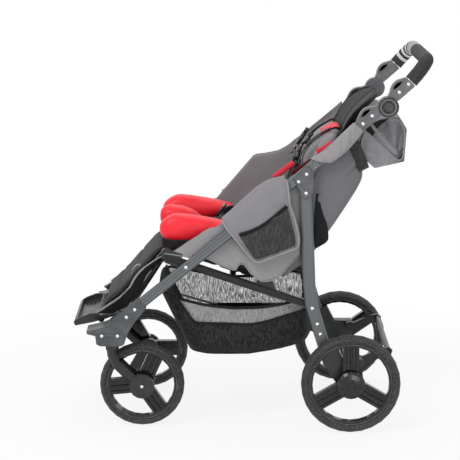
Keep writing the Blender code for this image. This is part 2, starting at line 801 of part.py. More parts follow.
def make_handle_hinges():
    """Paired hinge arms: each has half of the hinge disc and a slotted, leaf-shaped rib."""
    middle, ahead, square = arm_frame()
    for word, hand in SIDES.items():
        face = Vector((0, hand * (TUBE_Y + arm_half()), 0))
        for place, turn, shape in (("lower", -1, lower_arm(hand)), ("upper", 1, upper_arm(hand))):
            heads = [rivet(middle + ahead * run * turn + square * ARM_RISE + face, hand) for run in ARM_RIVETS]
            named(f"{place}_hinge_arm_{word}", fused(shape, *heads, solver="MANIFOLD"), hinge_plastic())
        dish = BUTTON_STAND - BUTTON_DISH
        profile = [(0, -BUTTON_DEPTH), (BUTTON_RADIUS, -BUTTON_DEPTH),
                   (BUTTON_RADIUS, BUTTON_STAND - BUTTON_EDGE), (BUTTON_RADIUS - BUTTON_EDGE, BUTTON_STAND),
                   (0.0070, BUTTON_STAND), (0.0055, dish), (0, dish)]
        outside = hand * (TUBE_Y + arm_half() + DISC_STAND)
        button = turned(profile, flat(DISC_AT, outside), 16, Vector((0, hand, 0)))
        named(f"handle_button_{word}", button, black_plastic())


def make_handle():
    """The steel bar between the hinge arms and the foam grip over its middle."""
    path = handle_path()
    bar = round_tube("handle_bar", path, BAR_RADIUS, black_tube(), 2)
    ends = (path[0], path[-1])
    grip_line = [point for point in path if min((point - end).length for end in ends) > GRIP_FROM_END]
    first = along(path[1], grip_line[0], GRIP_REACH)
    last = along(path[-2], grip_line[-1], GRIP_REACH)
    grip_line = [first, *grip_line, last]
    foam = round_tube("foam", grip_line, GRIP_RADIUS, grip_foam(), 2)
    core = round_tube("core", path, BAR_RADIUS + GAP, grip_foam(), 2)
    foam_mesh, core_mesh = evaluated(foam), evaluated(core)
    for spare in (foam, core):
        bpy.data.objects.remove(spare)
    named("handle_grip", cut(foam_mesh, core_mesh), grip_foam(), 50.0)
    return bar


def wheel(prefix, hub, radius, tyre_depth, tyre_wide, phase, hand, cap_radius):
    """A foam tyre on a rim with three wide channelled spokes."""
    inner = radius - tyre_depth
    half = tyre_wide / 2
    seat = half * 0.78
    tread = [(inner, seat), (inner + tyre_depth * 0.45, half), (radius - tyre_depth * 0.22, half * 0.72),
             (radius, half * 0.26)]
    named(f"{prefix}_tyre", turned(tread + [(r, -h) for r, h in reversed(tread)], hub), tyre_foam(), 30.0)
    rim = inner - GAP
    wide = seat - 0.001
    ring = [(rim, wide), (rim - RIM_RING, wide - 0.005)]
    barrel = turned(ring + [(r, -h) for r, h in reversed(ring)], hub)
    bore = AXLE_RADIUS + BORE_PLAY
    boss_half = half - HUB_INSET
    boss_ends = [(bore, -boss_half), (HUB_RADIUS, -boss_half), (HUB_RADIUS, boss_half), (bore, boss_half)]
    boss = turned(boss_ends, hub, 16)
    t, w = SPOKE_THICK / 2, SPOKE_WIDE / 2
    floor = t - SPOKE_GROOVE
    half_face = [(w, t), (w * 0.62, t), (w * 0.54, floor), (w * 0.16, floor), (w * 0.08, t)]
    face = [(-w, -t), (w, -t), *half_face, *((-a, b) for a, b in reversed(half_face))]
    spokes = []
    for k in range(3):
        angle = math.radians(phase + 120 * k)
        out = Vector((math.cos(angle), 0, math.sin(angle)))
        beside = Vector((-out.z, 0, out.x))
        rings = [[hub + out * r + beside * a + Vector((0, hand * b, 0)) for a, b in face]
                 for r in (SPOKE_FROM, rim - SPOKE_SET)]
        spokes.append(loft(rings))
    named(f"{prefix}_rim", fused(boss, barrel, *spokes), gloss_plastic(), 35.0)
    if cap_radius:
        start = boss_half + GAP
        steps = [(0.0, 0.0), (1.0, 0.0), (0.97, 0.0040), (0.80, 0.0095), (0.50, 0.0130), (0.30, 0.0136),
                 (0.26, 0.0118), (0.0, 0.0118)]
        dome = [(cap_radius * share, start + rise) for share, rise in steps]
        named(f"{prefix}_hub_cap", turned(dome, hub, 20, Vector((0, hand, 0))), gloss_plastic(), 35.0)


def rear_hub(hand=0):
    return side(REAR_HUB_X, REAR_RADIUS, hand * REAR_WHEEL_Y)


def front_hub(hand=0):
    return side(FRONT_HUB_X, FRONT_RADIUS, hand * FRONT_WHEEL_Y)


def make_wheels():
    rear_phase = {"left": 90.0, "right": 35.0}
    front_phase = {"left": 65.0, "right": 0.0}
    for word, hand in SIDES.items():
        wheel(f"rear_wheel_{word}", rear_hub(hand), REAR_RADIUS, REAR_TYRE_DEPTH, REAR_TYRE_WIDE,
              rear_phase[word], hand, REAR_CAP_RADIUS)
        wheel(f"front_wheel_{word}", front_hub(hand), FRONT_RADIUS, FRONT_TYRE_DEPTH, FRONT_TYRE_WIDE,
              front_phase[word], hand, 0.0)


def make_forks():
    """Casters: a crown with two curved blades that hold the front wheel between them."""
    offset = FRONT_TYRE_WIDE / 2 + WHEEL_SIDE_GAP + FORK_THICK / 2
    crown_top = BRACKET_BASE_Z - 3 * GAP
    hub_x, hub_z = FRONT_HUB_X, FRONT_RADIUS
    line = [(CASTER_X - 0.002, crown_top - 0.002), (CASTER_X + 0.001, 0.214), (CASTER_X + 0.014, 0.186),
            (CASTER_X + 0.042, 0.158), (hub_x - 0.012, hub_z + 0.010), (hub_x + 0.004, hub_z - 0.003)]
    for word, hand in SIDES.items():
        middle = Vector((0, hand * FRONT_WHEEL_Y, 0))
        pieces = []
        for sign in (-1, 1):
            shift = middle + Vector((0, sign * offset, 0))
            path = [flat(point) + shift for point in line]
            pieces.append(sweep(path, oval(FORK_WIDE, FORK_THICK, 2)))
            hub = flat((hub_x, hub_z)) + shift
            half_plate = Vector((0, FORK_THICK / 2 + HUB_PLATE_STAND, 0))
            pieces.append(rod(hub - half_plate, hub + half_plate, FORK_HUB_RADIUS, 16))
        half = offset + FORK_THICK / 2
        crown = [(CASTER_X - 0.017, crown_top), (CASTER_X + 0.015, crown_top),
                 (CASTER_X + 0.013, crown_top - CROWN_TALL), (CASTER_X - 0.015, crown_top - CROWN_TALL)]
        top = extruded(crown, middle.y - half, middle.y + half)
        base = side(CASTER_X, crown_top - 0.004, middle.y)
        stem = rod(base, base + Vector((0, 0, STEM_LENGTH)), STEM_RADIUS, 16)
        ends = Vector((0, half - 0.002, 0))
        axle = rod(front_hub(hand) - ends, front_hub(hand) + ends, AXLE_RADIUS, 12)
        named(f"caster_fork_{word}", fused(top, *pieces, stem, axle), black_plastic())


def leg_path():
    return [flat(point) for point in LEG_LINE]


def make_rear_frame():
    """The rear legs, their axle brackets and the axle between the wheels."""
    hub = rear_hub()
    for word, hand in SIDES.items():
        path = shifted(leg_path(), hand * TUBE_Y)
        face = hand * (TUBE_Y + LEG_THICK / 2)
        head = rod(flat(LEG_PIVOT, hand * (TUBE_Y - LEG_THICK / 2)), flat(LEG_PIVOT, face), LEG_WIDE / 2, 16)
        heads = [rivet(side(x, z, face), hand) for x, z in LEG_RIVETS]
        leg = fused(sweep(path, oval_box(LEG_WIDE, LEG_THICK)), head, *heads)
        named(f"rear_leg_{word}", leg, painted(), 30.0)
        block = extruded(axle_bracket_outline(), hand * AXLE_BRACKET_Y[0], hand * AXLE_BRACKET_Y[1])
        pin_in = BRAKE_ARM_Y - BRAKE_ARM_THICK / 2 - BRAKE_PIN_STAND
        pin_out = AXLE_BRACKET_Y[0] + BRAKE_PIN_SET
        pin = rod(flat(BRAKE_PIVOT, hand * pin_in), flat(BRAKE_PIVOT, hand * pin_out), BRAKE_PIN_RADIUS, 10)
        knee, foot = leg_path()[-2:]
        socket = shifted([*leg_path()[:-1], along(knee, foot, 1.0 + 3 * GAP)], hand * TUBE_Y)
        room = sweep(socket, oval_box(LEG_WIDE, LEG_THICK), 2 * GAP)
        ends = [AXLE_BRACKET_Y[0] - CUT_PAST, AXLE_BRACKET_Y[1] + CUT_PAST]
        hub_at = (REAR_HUB_X, REAR_RADIUS)
        hole = rod(flat(hub_at, hand * ends[0]), flat(hub_at, hand * ends[1]), AXLE_RADIUS + BORE_PLAY, 16)
        named(f"axle_bracket_{word}", fused(cut(block, room, hole), pin), black_plastic())
    inner = AXLE_BRACKET_Y[0] - GAP
    end = REAR_WHEEL_Y + REAR_TYRE_WIDE / 2 - AXLE_END_INSET
    axle = rod(hub - Vector((0, end, 0)), hub + Vector((0, end, 0)), AXLE_RADIUS, 12)
    tube = rod(hub - Vector((0, inner, 0)), hub + Vector((0, inner, 0)), AXLE_TUBE_RADIUS, 16)
    named("rear_axle", fused(tube, axle), black_tube())


def oval_box(wide, thick):
    """A flat bar section with generously rounded edges."""
    a, b = wide / 2, thick / 2
    r = b * 0.62
    s = r * 0.29
    quarter = [(a, b - r), (a - s, b - s), (a - r, b)]
    return (quarter + [(-p, q) for p, q in reversed(quarter)] + [(-p, -q) for p, q in quarter]
            + [(p, -q) for p, q in reversed(quarter)])


def axle_bracket_outline():
    """The axle housing from the side: a round hump on the hub, a limb on the leg and a lobe for the brake."""
    lobe = arc_points(BRAKE_PIVOT, BRAKE_LOBE_RADIUS, (120, 75, 30, -15, -60))
    hump = arc_points((REAR_HUB_X, REAR_RADIUS), HUB_HUMP_RADIUS, (10, -25, -60, -95, -130, -165))
    return [(0.268, 0.236), (0.304, 0.248), (0.326, 0.206), *lobe, *hump, (0.285, 0.165), (0.270, 0.200)]


def arc_points(middle, radius, degrees):
    """Side view points on a circle, at the given angles."""
    turns = [math.radians(angle) for angle in degrees]
    return [(middle[0] + radius * math.cos(turn), middle[1] + radius * math.sin(turn)) for turn in turns]


def make_brake():
    """The foot brake: a bar behind the axle on two arms that swing on the axle brackets' pins."""
    y = BRAKE_ARM_Y
    low, high = y - BRAKE_ARM_THICK / 2, y + BRAKE_ARM_THICK / 2
    bar = flat(BRAKE_BAR)
    pieces = []
    arm = [(0.362, 0.201), (0.368, 0.178), (0.392, 0.178), (0.440, 0.202), (0.466, 0.208), (0.470, 0.222),
           (0.460, 0.231), (0.434, 0.226), (0.386, 0.204)]
    for hand in SIDES.values():
        pivot = rod(flat(BRAKE_PIVOT, hand * low), flat(BRAKE_PIVOT, hand * high), BRAKE_EYE_RADIUS, 16)
        ends = [flat(BRAKE_PIVOT, hand * (low - CUT_PAST)), flat(BRAKE_PIVOT, hand * (high + CUT_PAST))]
        bore = rod(*ends, BRAKE_PIN_RADIUS + BORE_PLAY, 10)
        pieces.append(cut(fused(extruded(arm, hand * low, hand * high), pivot), bore))
    reach = Vector((0, low + BRAKE_BAR_SET, 0))
    tube = rod(bar - reach, bar + reach, BRAKE_BAR_RADIUS, 12)
    return named("brake_bar", fused(tube, *pieces), black_tube())


def make_leg_rest():
    """The leg rest's two pipes on the knee rod, the calf pad and the sliding footrest rods."""
    knee, low = flat(KNEE), flat(LEGREST_PIPE_END)
    y_in = knee_joint_inner() - GAP
    line = (low - knee).normalized()
    reach = Vector((0, y_in - LEGREST_ROD_SHORT, 0))
    pieces = [rod(knee - reach, knee + reach, LEGREST_ROD_RADIUS, 10)]
    for hand in SIDES.values():
        shift = Vector((0, hand * LEGREST_PIPE_Y, 0))
        pieces.append(rod(knee + shift - line * PIPE_PAST_KNEE, low + shift, PIPE_RADIUS, 10))
        boss = [flat(KNEE, hand * (y_in - LEGREST_BOSS_WIDE)), flat(KNEE, hand * y_in)]
        pieces.append(rod(*boss, LEGREST_BOSS_RADIUS, 12))
    frame = fused(*pieces, solver="MANIFOLD")
    bores = []
    for hand in SIDES.values():
        shift = Vector((0, hand * LEGREST_PIPE_Y, 0))
        bores.append(rod(knee + shift + line * PIPE_SOLID, low + shift + line * CUT_PAST, PIPE_BORE, 10))
    named("legrest_frame", cut(frame, *bores, solver="MANIFOLD"), black_tube())

    hinge = flat(FOOT_HINGE)
    y_foot = FOOTPLATE_HALF_WIDE + GAP
    for word, hand in SIDES.items():
        start = knee + line * FOOT_ROD_FROM
        bend = low + line * FOOT_ROD_STRAIGHT
        path = bend_path([start, bend, hinge], FOOT_ROD_BEND, 4)
        slider = sweep(shifted(path, hand * LEGREST_PIPE_Y), ring_section(FOOT_ROD_RADIUS, 12))
        eye_out = LEGREST_PIPE_Y + FOOT_EYE_OUT
        eye = rod(flat(FOOT_HINGE, hand * y_foot), flat(FOOT_HINGE, hand * eye_out), FOOT_EYE_RADIUS, 16)
        named(f"footrest_rod_{word}", fused(slider, eye), black_tube())


def ring_section(radius, steps):
    return [(radius * math.cos(2 * math.pi * k / steps), radius * math.sin(2 * math.pi * k / steps))
            for k in range(steps)]


def make_footplate():
    """A moulded foot tray with a raised rim and two rows of four slots in its floor."""
    hinge_x, sole = FOOT_HINGE[0], FOOT_HINGE[1] - FOOT_SOLE_DROP
    outline = [(-0.458, 0.286), (-0.453, 0.276), (-0.398, 0.287), (hinge_x - 0.008, sole),
               (hinge_x + 0.008, 0.2955), (hinge_x + 0.0095, 0.306), (hinge_x - 0.010, 0.3135), (-0.410, 0.313),
               (-0.440, 0.301), (-0.455, 0.291)]
    tray = extruded(outline, -FOOTPLATE_HALF_WIDE, FOOTPLATE_HALF_WIDE)
    toe_x, heel_x = -0.448, hinge_x - 0.012
    floor = [(toe_x, 0.2776 + FOOTPLATE_FLOOR), (heel_x, sole + FOOTPLATE_FLOOR), (heel_x, 0.330),
             (toe_x, 0.330)]
    inside = FOOTPLATE_HALF_WIDE - FOOTPLATE_RIM
    hollow = extruded(floor, -inside, inside)
    slots = []
    for k in range(FOOT_SLOTS):
        x = FOOT_SLOT_FIRST + FOOT_SLOT_PITCH * k
        slot = [(x, 0.270), (x + FOOT_SLOT_WIDE, 0.270), (x + FOOT_SLOT_WIDE, 0.300), (x, 0.300)]
        for hand in SIDES.values():
            slots.append(extruded(slot, hand * FOOT_SLOT_Y[0], hand * FOOT_SLOT_Y[1]))
    named("footplate", cut(softened(cut(tray, hollow), 0.0012), *slots), black_plastic())


def make_soft_leg_rest():
    """The calf pad: a padded panel with raised edges, bent at mid calf."""
    line = [(-0.1927, 0.5144), (-0.2200, 0.4900), (-0.2620, 0.4430), (-0.2980, 0.4010), (-0.3350, 0.3660),
            (-0.3660, 0.3440)]
    half = [CALF_HALF_WIDE * share for share in (0.93, 0.99, 1.0, 0.98, 0.96, 0.90)]
    thick = [CALF_THICK * share / 2 for share in (0.60, 1.0, 1.0, 1.0, 1.0, 0.60)]
    shape = pad([flat(point) for point in line], ACROSS, half, thick, 3.2, 20)
    named("calf_pad", shape, black_cloth(), 60.0)


def make_seat():
    """The seat cushion, the two thigh pads and the knee separator that stand on it."""
    runs = [SEAT_START, SEAT_START + 0.012, 0.070, 0.140, 0.210, SEAT_LENGTH - 0.014, SEAT_LENGTH]
    half = [SEAT_HALF_WIDE * share for share in (0.90, 0.98, 1.0, 1.0, 0.99, 0.95, 0.86)]
    thick = [SEAT_THICK * share / 2 for share in (0.50, 0.94, 1.0, 0.96, 1.0, 0.94, 0.55)]
    centres = [seat_point(run, SEAT_RISE) for run in runs]
    named("seat_cushion", pad(centres, ACROSS, half, thick, 3.6, 20, 0.02), black_cloth(), 60.0)

    base = SEAT_RISE + SEAT_THICK / 2 + GAP - KNEE_PAD_SINK
    knee = [(-0.047, 0.062, 0.086, 0.016), (-0.040, 0.051, 0.100, 0.028), (-0.020, base, 0.112, 0.036),
            (0.008, base, 0.118, 0.038), (0.040, base, 0.117, 0.033), (0.066, base, 0.108, 0.024),
            (0.078, base + 0.010, 0.094, 0.012)]
    named("knee_separator", standing_pad(knee, 0.0), red_vinyl(), 70.0)
    base = SEAT_RISE + SEAT_THICK / 2 + GAP - THIGH_PAD_SINK
    thigh = [(-0.034, 0.066, 0.090, 0.014), (-0.027, 0.052, 0.106, 0.021), (-0.008, base, 0.121, 0.026),
             (0.022, base, 0.128, 0.029), (0.065, base, 0.131, 0.029), (0.105, base, 0.131, 0.027),
             (0.138, base, 0.124, 0.022), (0.150, base + 0.012, 0.108, 0.012)]
    for word, hand in SIDES.items():
        named(f"thigh_pad_{word}", standing_pad(thigh, THIGH_PAD_Y * hand), red_vinyl(), 70.0)


def standing_pad(stations, y):
    """A pad that stands on the seat: each station gives its run, its foot, its top and half its width."""
    centres = [seat_point(run, (foot + top) / 2, y) for run, foot, top, _ in stations]
    half_wide = [wide for _, _, _, wide in stations]
    half_tall = [(top - foot) / 2 for _, foot, top, _ in stations]
    return pad(centres, ACROSS, half_wide, half_tall, 2.5, PAD_STEPS)


def make_backrest():
    """The backrest's bent tube, its cushion, the shell behind, the head panel and the harness."""
    y = BACK_FRAME_Y
    pin = seat_tube_y() - SEAT_TUBE_WIDE / 2 + EAR_SET - GAP
    low, high = BACK_FRAME_BEND
    half_frame = [(0.0, 0.0), (0.040, BACK_FRAME_BEHIND), (low, BACK_FRAME_BEHIND), (high, BACK_FRAME_LEAN)]
    left = [back_point(up, behind, -y) for up, behind in half_frame]
    right = [back_point(up, behind, y) for up, behind in reversed(half_frame)]
    path = bend_path([back_point(0, 0, -pin), *left, *right, back_point(0, 0, pin)], 0.018, 2)
    round_tube("backrest_frame", path, BACK_FRAME_RADIUS, black_tube(), 2)

    ups = [0.030, 0.044, 0.110, 0.180, 0.250, 0.320, 0.390, 0.432, 0.446]
    half = [BACK_HALF_WIDE * share for share in (0.86, 0.95, 0.97, 0.97, 1.0, 1.0, 0.97, 0.92, 0.82)]
    shares = (0.45, 0.90, 1.0, 0.92, 1.0, 0.92, 1.0, 0.90, 0.45)
    thick = [BACK_CUSHION_THICK * share / 2 for share in shares]
    centres = [back_point(up, BACK_CUSHION_BEHIND) for up in ups]
    named("back_cushion", pad(centres, ACROSS, half, thick, 3.4, 20), grey_cloth(), 60.0)

    heads = [0.458, 0.468, 0.510, 0.560, 0.585, 0.594]
    half = [HEAD_HALF_WIDE * share for share in (0.90, 0.97, 1.0, 0.97, 0.90, 0.74)]
    thick = [HEAD_THICK * share / 2 for share in (0.5, 1.0, 1.0, 1.0, 0.9, 0.5)]
    centres = [back_point(up, HEAD_MIDDLE[1] + (up - HEAD_MIDDLE[0]) * HEAD_LEAN) for up in heads]
    named("head_panel", pad(centres, ACROSS, half, thick, 3.0, 18), black_cloth(), 60.0)

    for word, hand in SIDES.items():
        places = [(up, hand * (STRAP_APART + STRAP_SPREAD * up)) for up in (0.19, 0.26, 0.34, 0.42)]
        strap = [back_point(up, STRAP_BEHIND, y) for up, y in places]
        up, behind, y = BUCKLE_AT
        buckle = slab(back_point(up, behind, hand * y), *BUCKLE_SIZE)
        belt = fused(strap_along(strap, STRAP_WIDE, STRAP_THICK), buckle)
        named(f"harness_strap_{word}", belt, black_cloth(), 30.0)
    make_back_shell()


def strap_along(points, wide, thick):
    """A flat strap on the front of the backrest."""
    rings = []
    rear = back_point(0, 1) - back_point(0, 0)
    for point in points:
        ring = [point + Vector((0, a * wide / 2, 0)) + rear * (b * thick / 2) for a, b in
                ((-1, -1), (1, -1), (1, 1), (-1, 1))]
        rings.append(ring)
    return loft(rings)


def slab(centre, wide, tall, thick):
    """A small block square to the backrest."""
    rear = back_point(0, 1) - back_point(0, 0)
    up = back_point(1, 0) - back_point(0, 0)
    rings = []
    for end in (-1, 1):
        ring = [centre + Vector((0, a * wide / 2, 0)) + up * (end * tall / 2) + rear * (b * thick / 2)
                for a, b in ((-1, -1), (1, -1), (1, 1), (-1, 1))]
        rings.append(ring)
    return loft(rings)


def make_back_shell():
    """The fabric tub behind the backrest: high at the sides, bulging to the rear.

    Each station gives a height and how deep the tub is there. Over its last part to either side, the cloth
    turns forward to the edge.
    """
    rows = []
    stations = [(0.035, 0.058), (0.080, 0.080), (0.135, 0.096), (0.200, 0.103), (0.270, 0.108), (0.340, 0.110),
                (0.400, 0.096), (0.445, 0.062), (0.499, 0.0512)]
    for up, depth in stations:
        edge = SHELL_EDGE_BEHIND if up > SHELL_EDGE_BEND else SHELL_FOOT_BEHIND
        row = []
        for k in range(2 * SHELL_HALF_STEPS + 1):
            share = k / SHELL_HALF_STEPS - 1
            turn = abs(share)
            y = math.copysign(SHELL_HALF_WIDE * min(1.0, turn * 1.35) ** 0.9, share) if turn else 0.0
            reach = 1 - max(0.0, turn - SHELL_TURN) / (1 - SHELL_TURN)
            bulge = max(0.0, reach) ** 0.75 * (1 - 0.10 * turn ** 3)
            row.append(back_point(up, edge + (depth - edge) * bulge, y))
        rows.append(row)
    sheet("back_shell", rows, SHELL_SKIN, grey_cloth())


def make_canopy():
    """The folded canopy: a cloth bundle with open pockets at its sides, and the bow that opens it."""
    outline = [(0.378, 0.858), (0.3677, 0.812), (0.388, 0.780), (0.412, 0.762), (0.446, 0.764), (0.489, 0.775),
               (0.495, 0.815), (0.500, 0.850), (0.496, 0.872), (0.478, 0.888), (0.440, 0.894), (0.402, 0.868)]
    rings = []
    middle = flat(CANOPY_MIDDLE)
    ends = [(-1.0, 0.955), (-0.93, 0.99), (-0.5, 1.0)]
    for y, scale in [*ends, (0.0, 1.02), *((-y, scale) for y, scale in reversed(ends))]:
        shift = Vector((0, y * CANOPY_HALF_WIDE, 0))
        rings.append([middle + (side(x, z) - middle) * scale + shift for x, z in outline])
    hood = loft(rings)
    pocket = [(0.402, 0.852), (0.480, 0.790), (0.488, 0.850), (0.474, 0.874), (0.440, 0.880)]
    past = CANOPY_HALF_WIDE + CUT_PAST
    inside = CANOPY_HALF_WIDE - POCKET_DEPTH
    cutters = [extruded(pocket, hand * inside, hand * past) for hand in SIDES.values()]
    corner = flat(BOW_CORNER)
    reach = Vector((0, past, 0))
    cutters.append(rod(corner - reach, corner + reach, BOW_RADIUS + BOW_PLAY, 12))
    named("canopy_hood", cut(hood, *cutters), grey_cloth(), 50.0)
    pivot = flat(CANOPY_PIVOT)
    y = Vector((0, BOW_Y, 0))
    path = bend_path([pivot - y, corner - y, corner + y, pivot + y], 0.006, 3)
    round_tube("canopy_bow", path, BOW_RADIUS, black_tube(), 1)


def basket_rim(share, across):
    """The height of the basket's rim, which sags between its corners; share runs from front to rear."""
    front, rear = BASKET_RIM
    ends = front + (rear - front) * share
    return ends - BASKET_SAG * math.sin(math.pi * share) * abs(across) - BASKET_END_SAG * (1 - abs(across))


def basket_rings(inset, floor_rise):
    """Level rings of the basket from its rim to its floor, each drawn in by the wall where needed."""
    rings = []
    levels = [(0.0, BASKET_RIM_X, 1.0), (0.45, (-0.158, 0.236), 0.96), (0.85, (-0.122, 0.238), 0.90),
              (1.0, (-0.096, 0.228), 0.84)]
    for drop, (front, rear), width in levels:
        ring = []
        half = BASKET_HALF_WIDE * width - inset
        x_low, x_high = front + inset, rear - inset
        run = x_high - x_low
        near = [(x_low, -0.80), (x_low + 0.020, -1.0), (x_low + run * 0.40, -1.0), (x_low + run * 0.75, -1.0),
                (x_high - 0.012, -1.0), (x_high, -0.85)]
        for x, across in [*near, *((x, -across) for x, across in reversed(near))]:
            rim_front, rim_rear = BASKET_RIM_X
            share = min(max((x - rim_front) / (rim_rear - rim_front), 0.0), 1.0)
            top = basket_rim(share, across)
            heel_start, heel_end = BASKET_HEEL_X
            heel = max(0.0, (x - heel_start) / (heel_end - heel_start)) ** 1.2
            bottom = BASKET_FLOOR + BASKET_HEEL * heel + floor_rise
            ring.append(side(x, top + (bottom - top) * drop, across * half))
        rings.append(ring)
    return rings


def make_basket():
    """The open basket under the seat, hung between the frame's sides."""
    outer = basket_rings(0.0, 0.0)
    inner = basket_rings(BASKET_WALL, BASKET_WALL)
    named("basket", loft([*reversed(inner), *outer]), net_cloth(), 50.0)


def panel_section(path_low, path_high, y):
    """A flat grid between two lines of equally many (x, z) points."""
    grid = []
    for low, high in zip(path_low, path_high):
        ends = flat(low, y), flat(high, y)
        grid.append([along(*ends, k / PANEL_STEPS) for k in range(PANEL_STEPS + 1)])
    return grid


def make_side_panels():
    """The seat's fabric sides: an inner wall with a wing up to the handle, and a flap over the side tube."""
    inner_low = [(-0.160, 0.520), (-0.134, 0.5115), (-0.124, 0.4975), (-0.074, 0.494), (-0.050, 0.476),
                 (0.018, 0.452), (0.040, 0.468), (0.060, 0.440), (0.122, 0.434), (0.145, 0.446), (0.169, 0.476),
                 (0.200, 0.505), (0.242, 0.748), (0.290, 0.794), (0.338, 0.838)]
    inner_high = [(-0.157, 0.523), (-0.134, 0.536), (-0.120, 0.546), (-0.074, 0.577), (-0.047, 0.597),
                  (-0.016, 0.625), (0.013, 0.664), (0.044, 0.700), (0.092, 0.722), (0.130, 0.740), (0.162, 0.758),
                  (0.196, 0.788), (0.240, 0.824), (0.288, 0.856), (0.334, 0.888)]
    outer_low = [(-0.003, 0.581), (0.024, 0.548), (0.064, 0.500), (0.081, 0.491), (0.120, 0.504), (0.160, 0.520),
                 (0.192, 0.534)]
    outer_high = [(-0.022, 0.617), (0.006, 0.652), (0.044, 0.697), (0.075, 0.712), (0.104, 0.724), (0.132, 0.735),
                  (0.153, 0.742)]
    for word, hand in SIDES.items():
        wall = panel_section(inner_low, inner_high, hand * PANEL_Y)
        for row in wall[-WING_ROWS:]:
            for point in row:
                point.y = hand * WING_Y
        inner = sheet("inner", wall, CLOTH, grey_cloth())
        flap = panel_section(outer_low, outer_high, hand * FLAP_Y)
        for i, row in enumerate(flap):
            share = i / (len(flap) - 1)
            for k, point in enumerate(row):
                belly = math.sin(math.pi * share) * math.sin(math.pi * (k + 0.5) / (PANEL_STEPS + 1))
                point.y += hand * FLAP_BELLY * belly
            top = row[-1]
            row.append(Vector((top.x, hand * (PANEL_Y + FLAP_OVER), top.z + FLAP_RISE)))
            row.append(Vector((top.x, hand * (PANEL_Y - FLAP_SET), top.z)))
        outer = sheet("outer", flap, CLOTH, grey_cloth())
        walls = [evaluated(piece) for piece in (inner, outer)]
        for piece in (inner, outer):
            bpy.data.objects.remove(piece)
        named(f"side_panel_{word}", fused(*walls), grey_cloth(), 60.0)
        make_sleeve(word, hand)


def make_sleeve(word, hand):
    """The fabric sleeve laced over the upper part of the side tube."""
    start, end = (along(flat(TUBE_BEND), flat(TUBE_REAR), share) for share in SLEEVE_REACH)
    section = ribbed(TUBE_TALL, TUBE_WIDE, 0.0)
    past = (end - start).normalized() * CUT_PAST
    far = [start - past, end + past]
    outer = sweep(shifted([start, end], hand * TUBE_Y), section, SLEEVE_THICK)
    cover = cut(outer, sweep(shifted(far, hand * TUBE_Y), section, 2 * GAP))
    named(f"tube_sleeve_{word}", cover, grey_cloth(), 40.0)


def main():
    for old in list(bpy.data.objects):
        bpy.data.objects.remove(old)
    make_side_tubes()
    make_seat_tubes()
    make_knee_joints()
    make_front_brackets()
    make_pivot_plates()
    make_handle_hinges()
    make_handle()
    make_wheels()
    make_forks()
    make_rear_frame()
    make_brake()
    make_leg_rest()
    make_footplate()
    make_soft_leg_rest()
    make_seat()
    make_backrest()
    make_canopy()
    make_basket()
    make_side_panels()


main()
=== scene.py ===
"""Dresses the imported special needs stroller: its finishes, its cloth and padded pieces, its trims, light and camera.

The side view is used throughout: x runs to the handle at the rear and z up, both in metres. The model's own x is
SIDE_MIDDLE less. Hand is -1 on the near side, which is the stroller's left, and 1 on the far side.
"""

import json
import logging
import math
from dataclasses import dataclass, field, replace
from enum import Enum

import bmesh
import bpy
import numpy as np
from mathutils import Matrix, Vector, noise


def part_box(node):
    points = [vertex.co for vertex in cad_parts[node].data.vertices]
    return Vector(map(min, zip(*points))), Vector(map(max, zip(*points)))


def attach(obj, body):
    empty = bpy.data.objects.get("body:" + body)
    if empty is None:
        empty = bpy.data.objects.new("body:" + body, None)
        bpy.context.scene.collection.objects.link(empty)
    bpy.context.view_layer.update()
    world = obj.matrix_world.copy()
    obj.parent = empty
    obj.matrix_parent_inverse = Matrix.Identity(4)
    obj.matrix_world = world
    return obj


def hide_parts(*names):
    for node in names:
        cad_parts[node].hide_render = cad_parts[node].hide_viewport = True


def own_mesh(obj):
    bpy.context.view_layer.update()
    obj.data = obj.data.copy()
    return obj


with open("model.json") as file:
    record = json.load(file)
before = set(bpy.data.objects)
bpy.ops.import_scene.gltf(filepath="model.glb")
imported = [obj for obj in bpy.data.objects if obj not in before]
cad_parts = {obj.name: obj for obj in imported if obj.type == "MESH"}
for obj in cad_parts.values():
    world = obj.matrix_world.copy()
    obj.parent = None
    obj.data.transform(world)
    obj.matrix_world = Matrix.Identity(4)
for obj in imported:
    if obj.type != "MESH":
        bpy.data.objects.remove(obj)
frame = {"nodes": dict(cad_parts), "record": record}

LOG = logging.getLogger("stroller")
ACROSS = Vector((0, 1, 0))
UP = Vector((0, 0, 1))
SIDE_MIDDLE = 0.056
WELD = 0.00002
SWELL_STEPS = 20
SWELL_STIFFNESS = 12.0
Flat = tuple[float, float]
Triple = tuple[float, float, float]
Line = tuple[Flat, ...]
Rows = list[list[Vector]]
Faces = list[tuple[int, ...]]
Piece = bpy.types.Object
Socket = bpy.types.NodeSocket


class Hand(Enum):
    """The two sides of the stroller: its word in the nodes' names, and its sign along Y."""

    NEAR = ("left", -1)
    FAR = ("right", 1)

    @property
    def word(self) -> str:
        """The side's word in the nodes' names."""
        return self.value[0]

    @property
    def sign(self) -> int:
        """The side's sign along Y."""
        return self.value[1]

    @property
    def out(self) -> Vector:
        """The way out from the stroller's middle on this side."""
        return Vector((0, self.sign, 0))


class Held(Enum):
    """How a sheet of cloth is held."""

    STRETCHED = "stretched"
    HUNG = "hung"
    GATHERED = "gathered"
    FOLDED = "folded"


# ---- colours and node helpers


def linear(code: str) -> tuple[float, float, float, float]:
    """Turns an sRGB hex colour into linear values.

    Args:
        code: The colour as six hex digits after a hash.

    Returns:
        Linear red, green, blue and an alpha of 1.
    """
    parts = [int(code[i : i + 2], 16) / 255 for i in (1, 3, 5)]
    values = [c / 12.92 if c <= 0.04045 else ((c + 0.055) / 1.055) ** 2.4 for c in parts]
    return (values[0], values[1], values[2], 1.0)


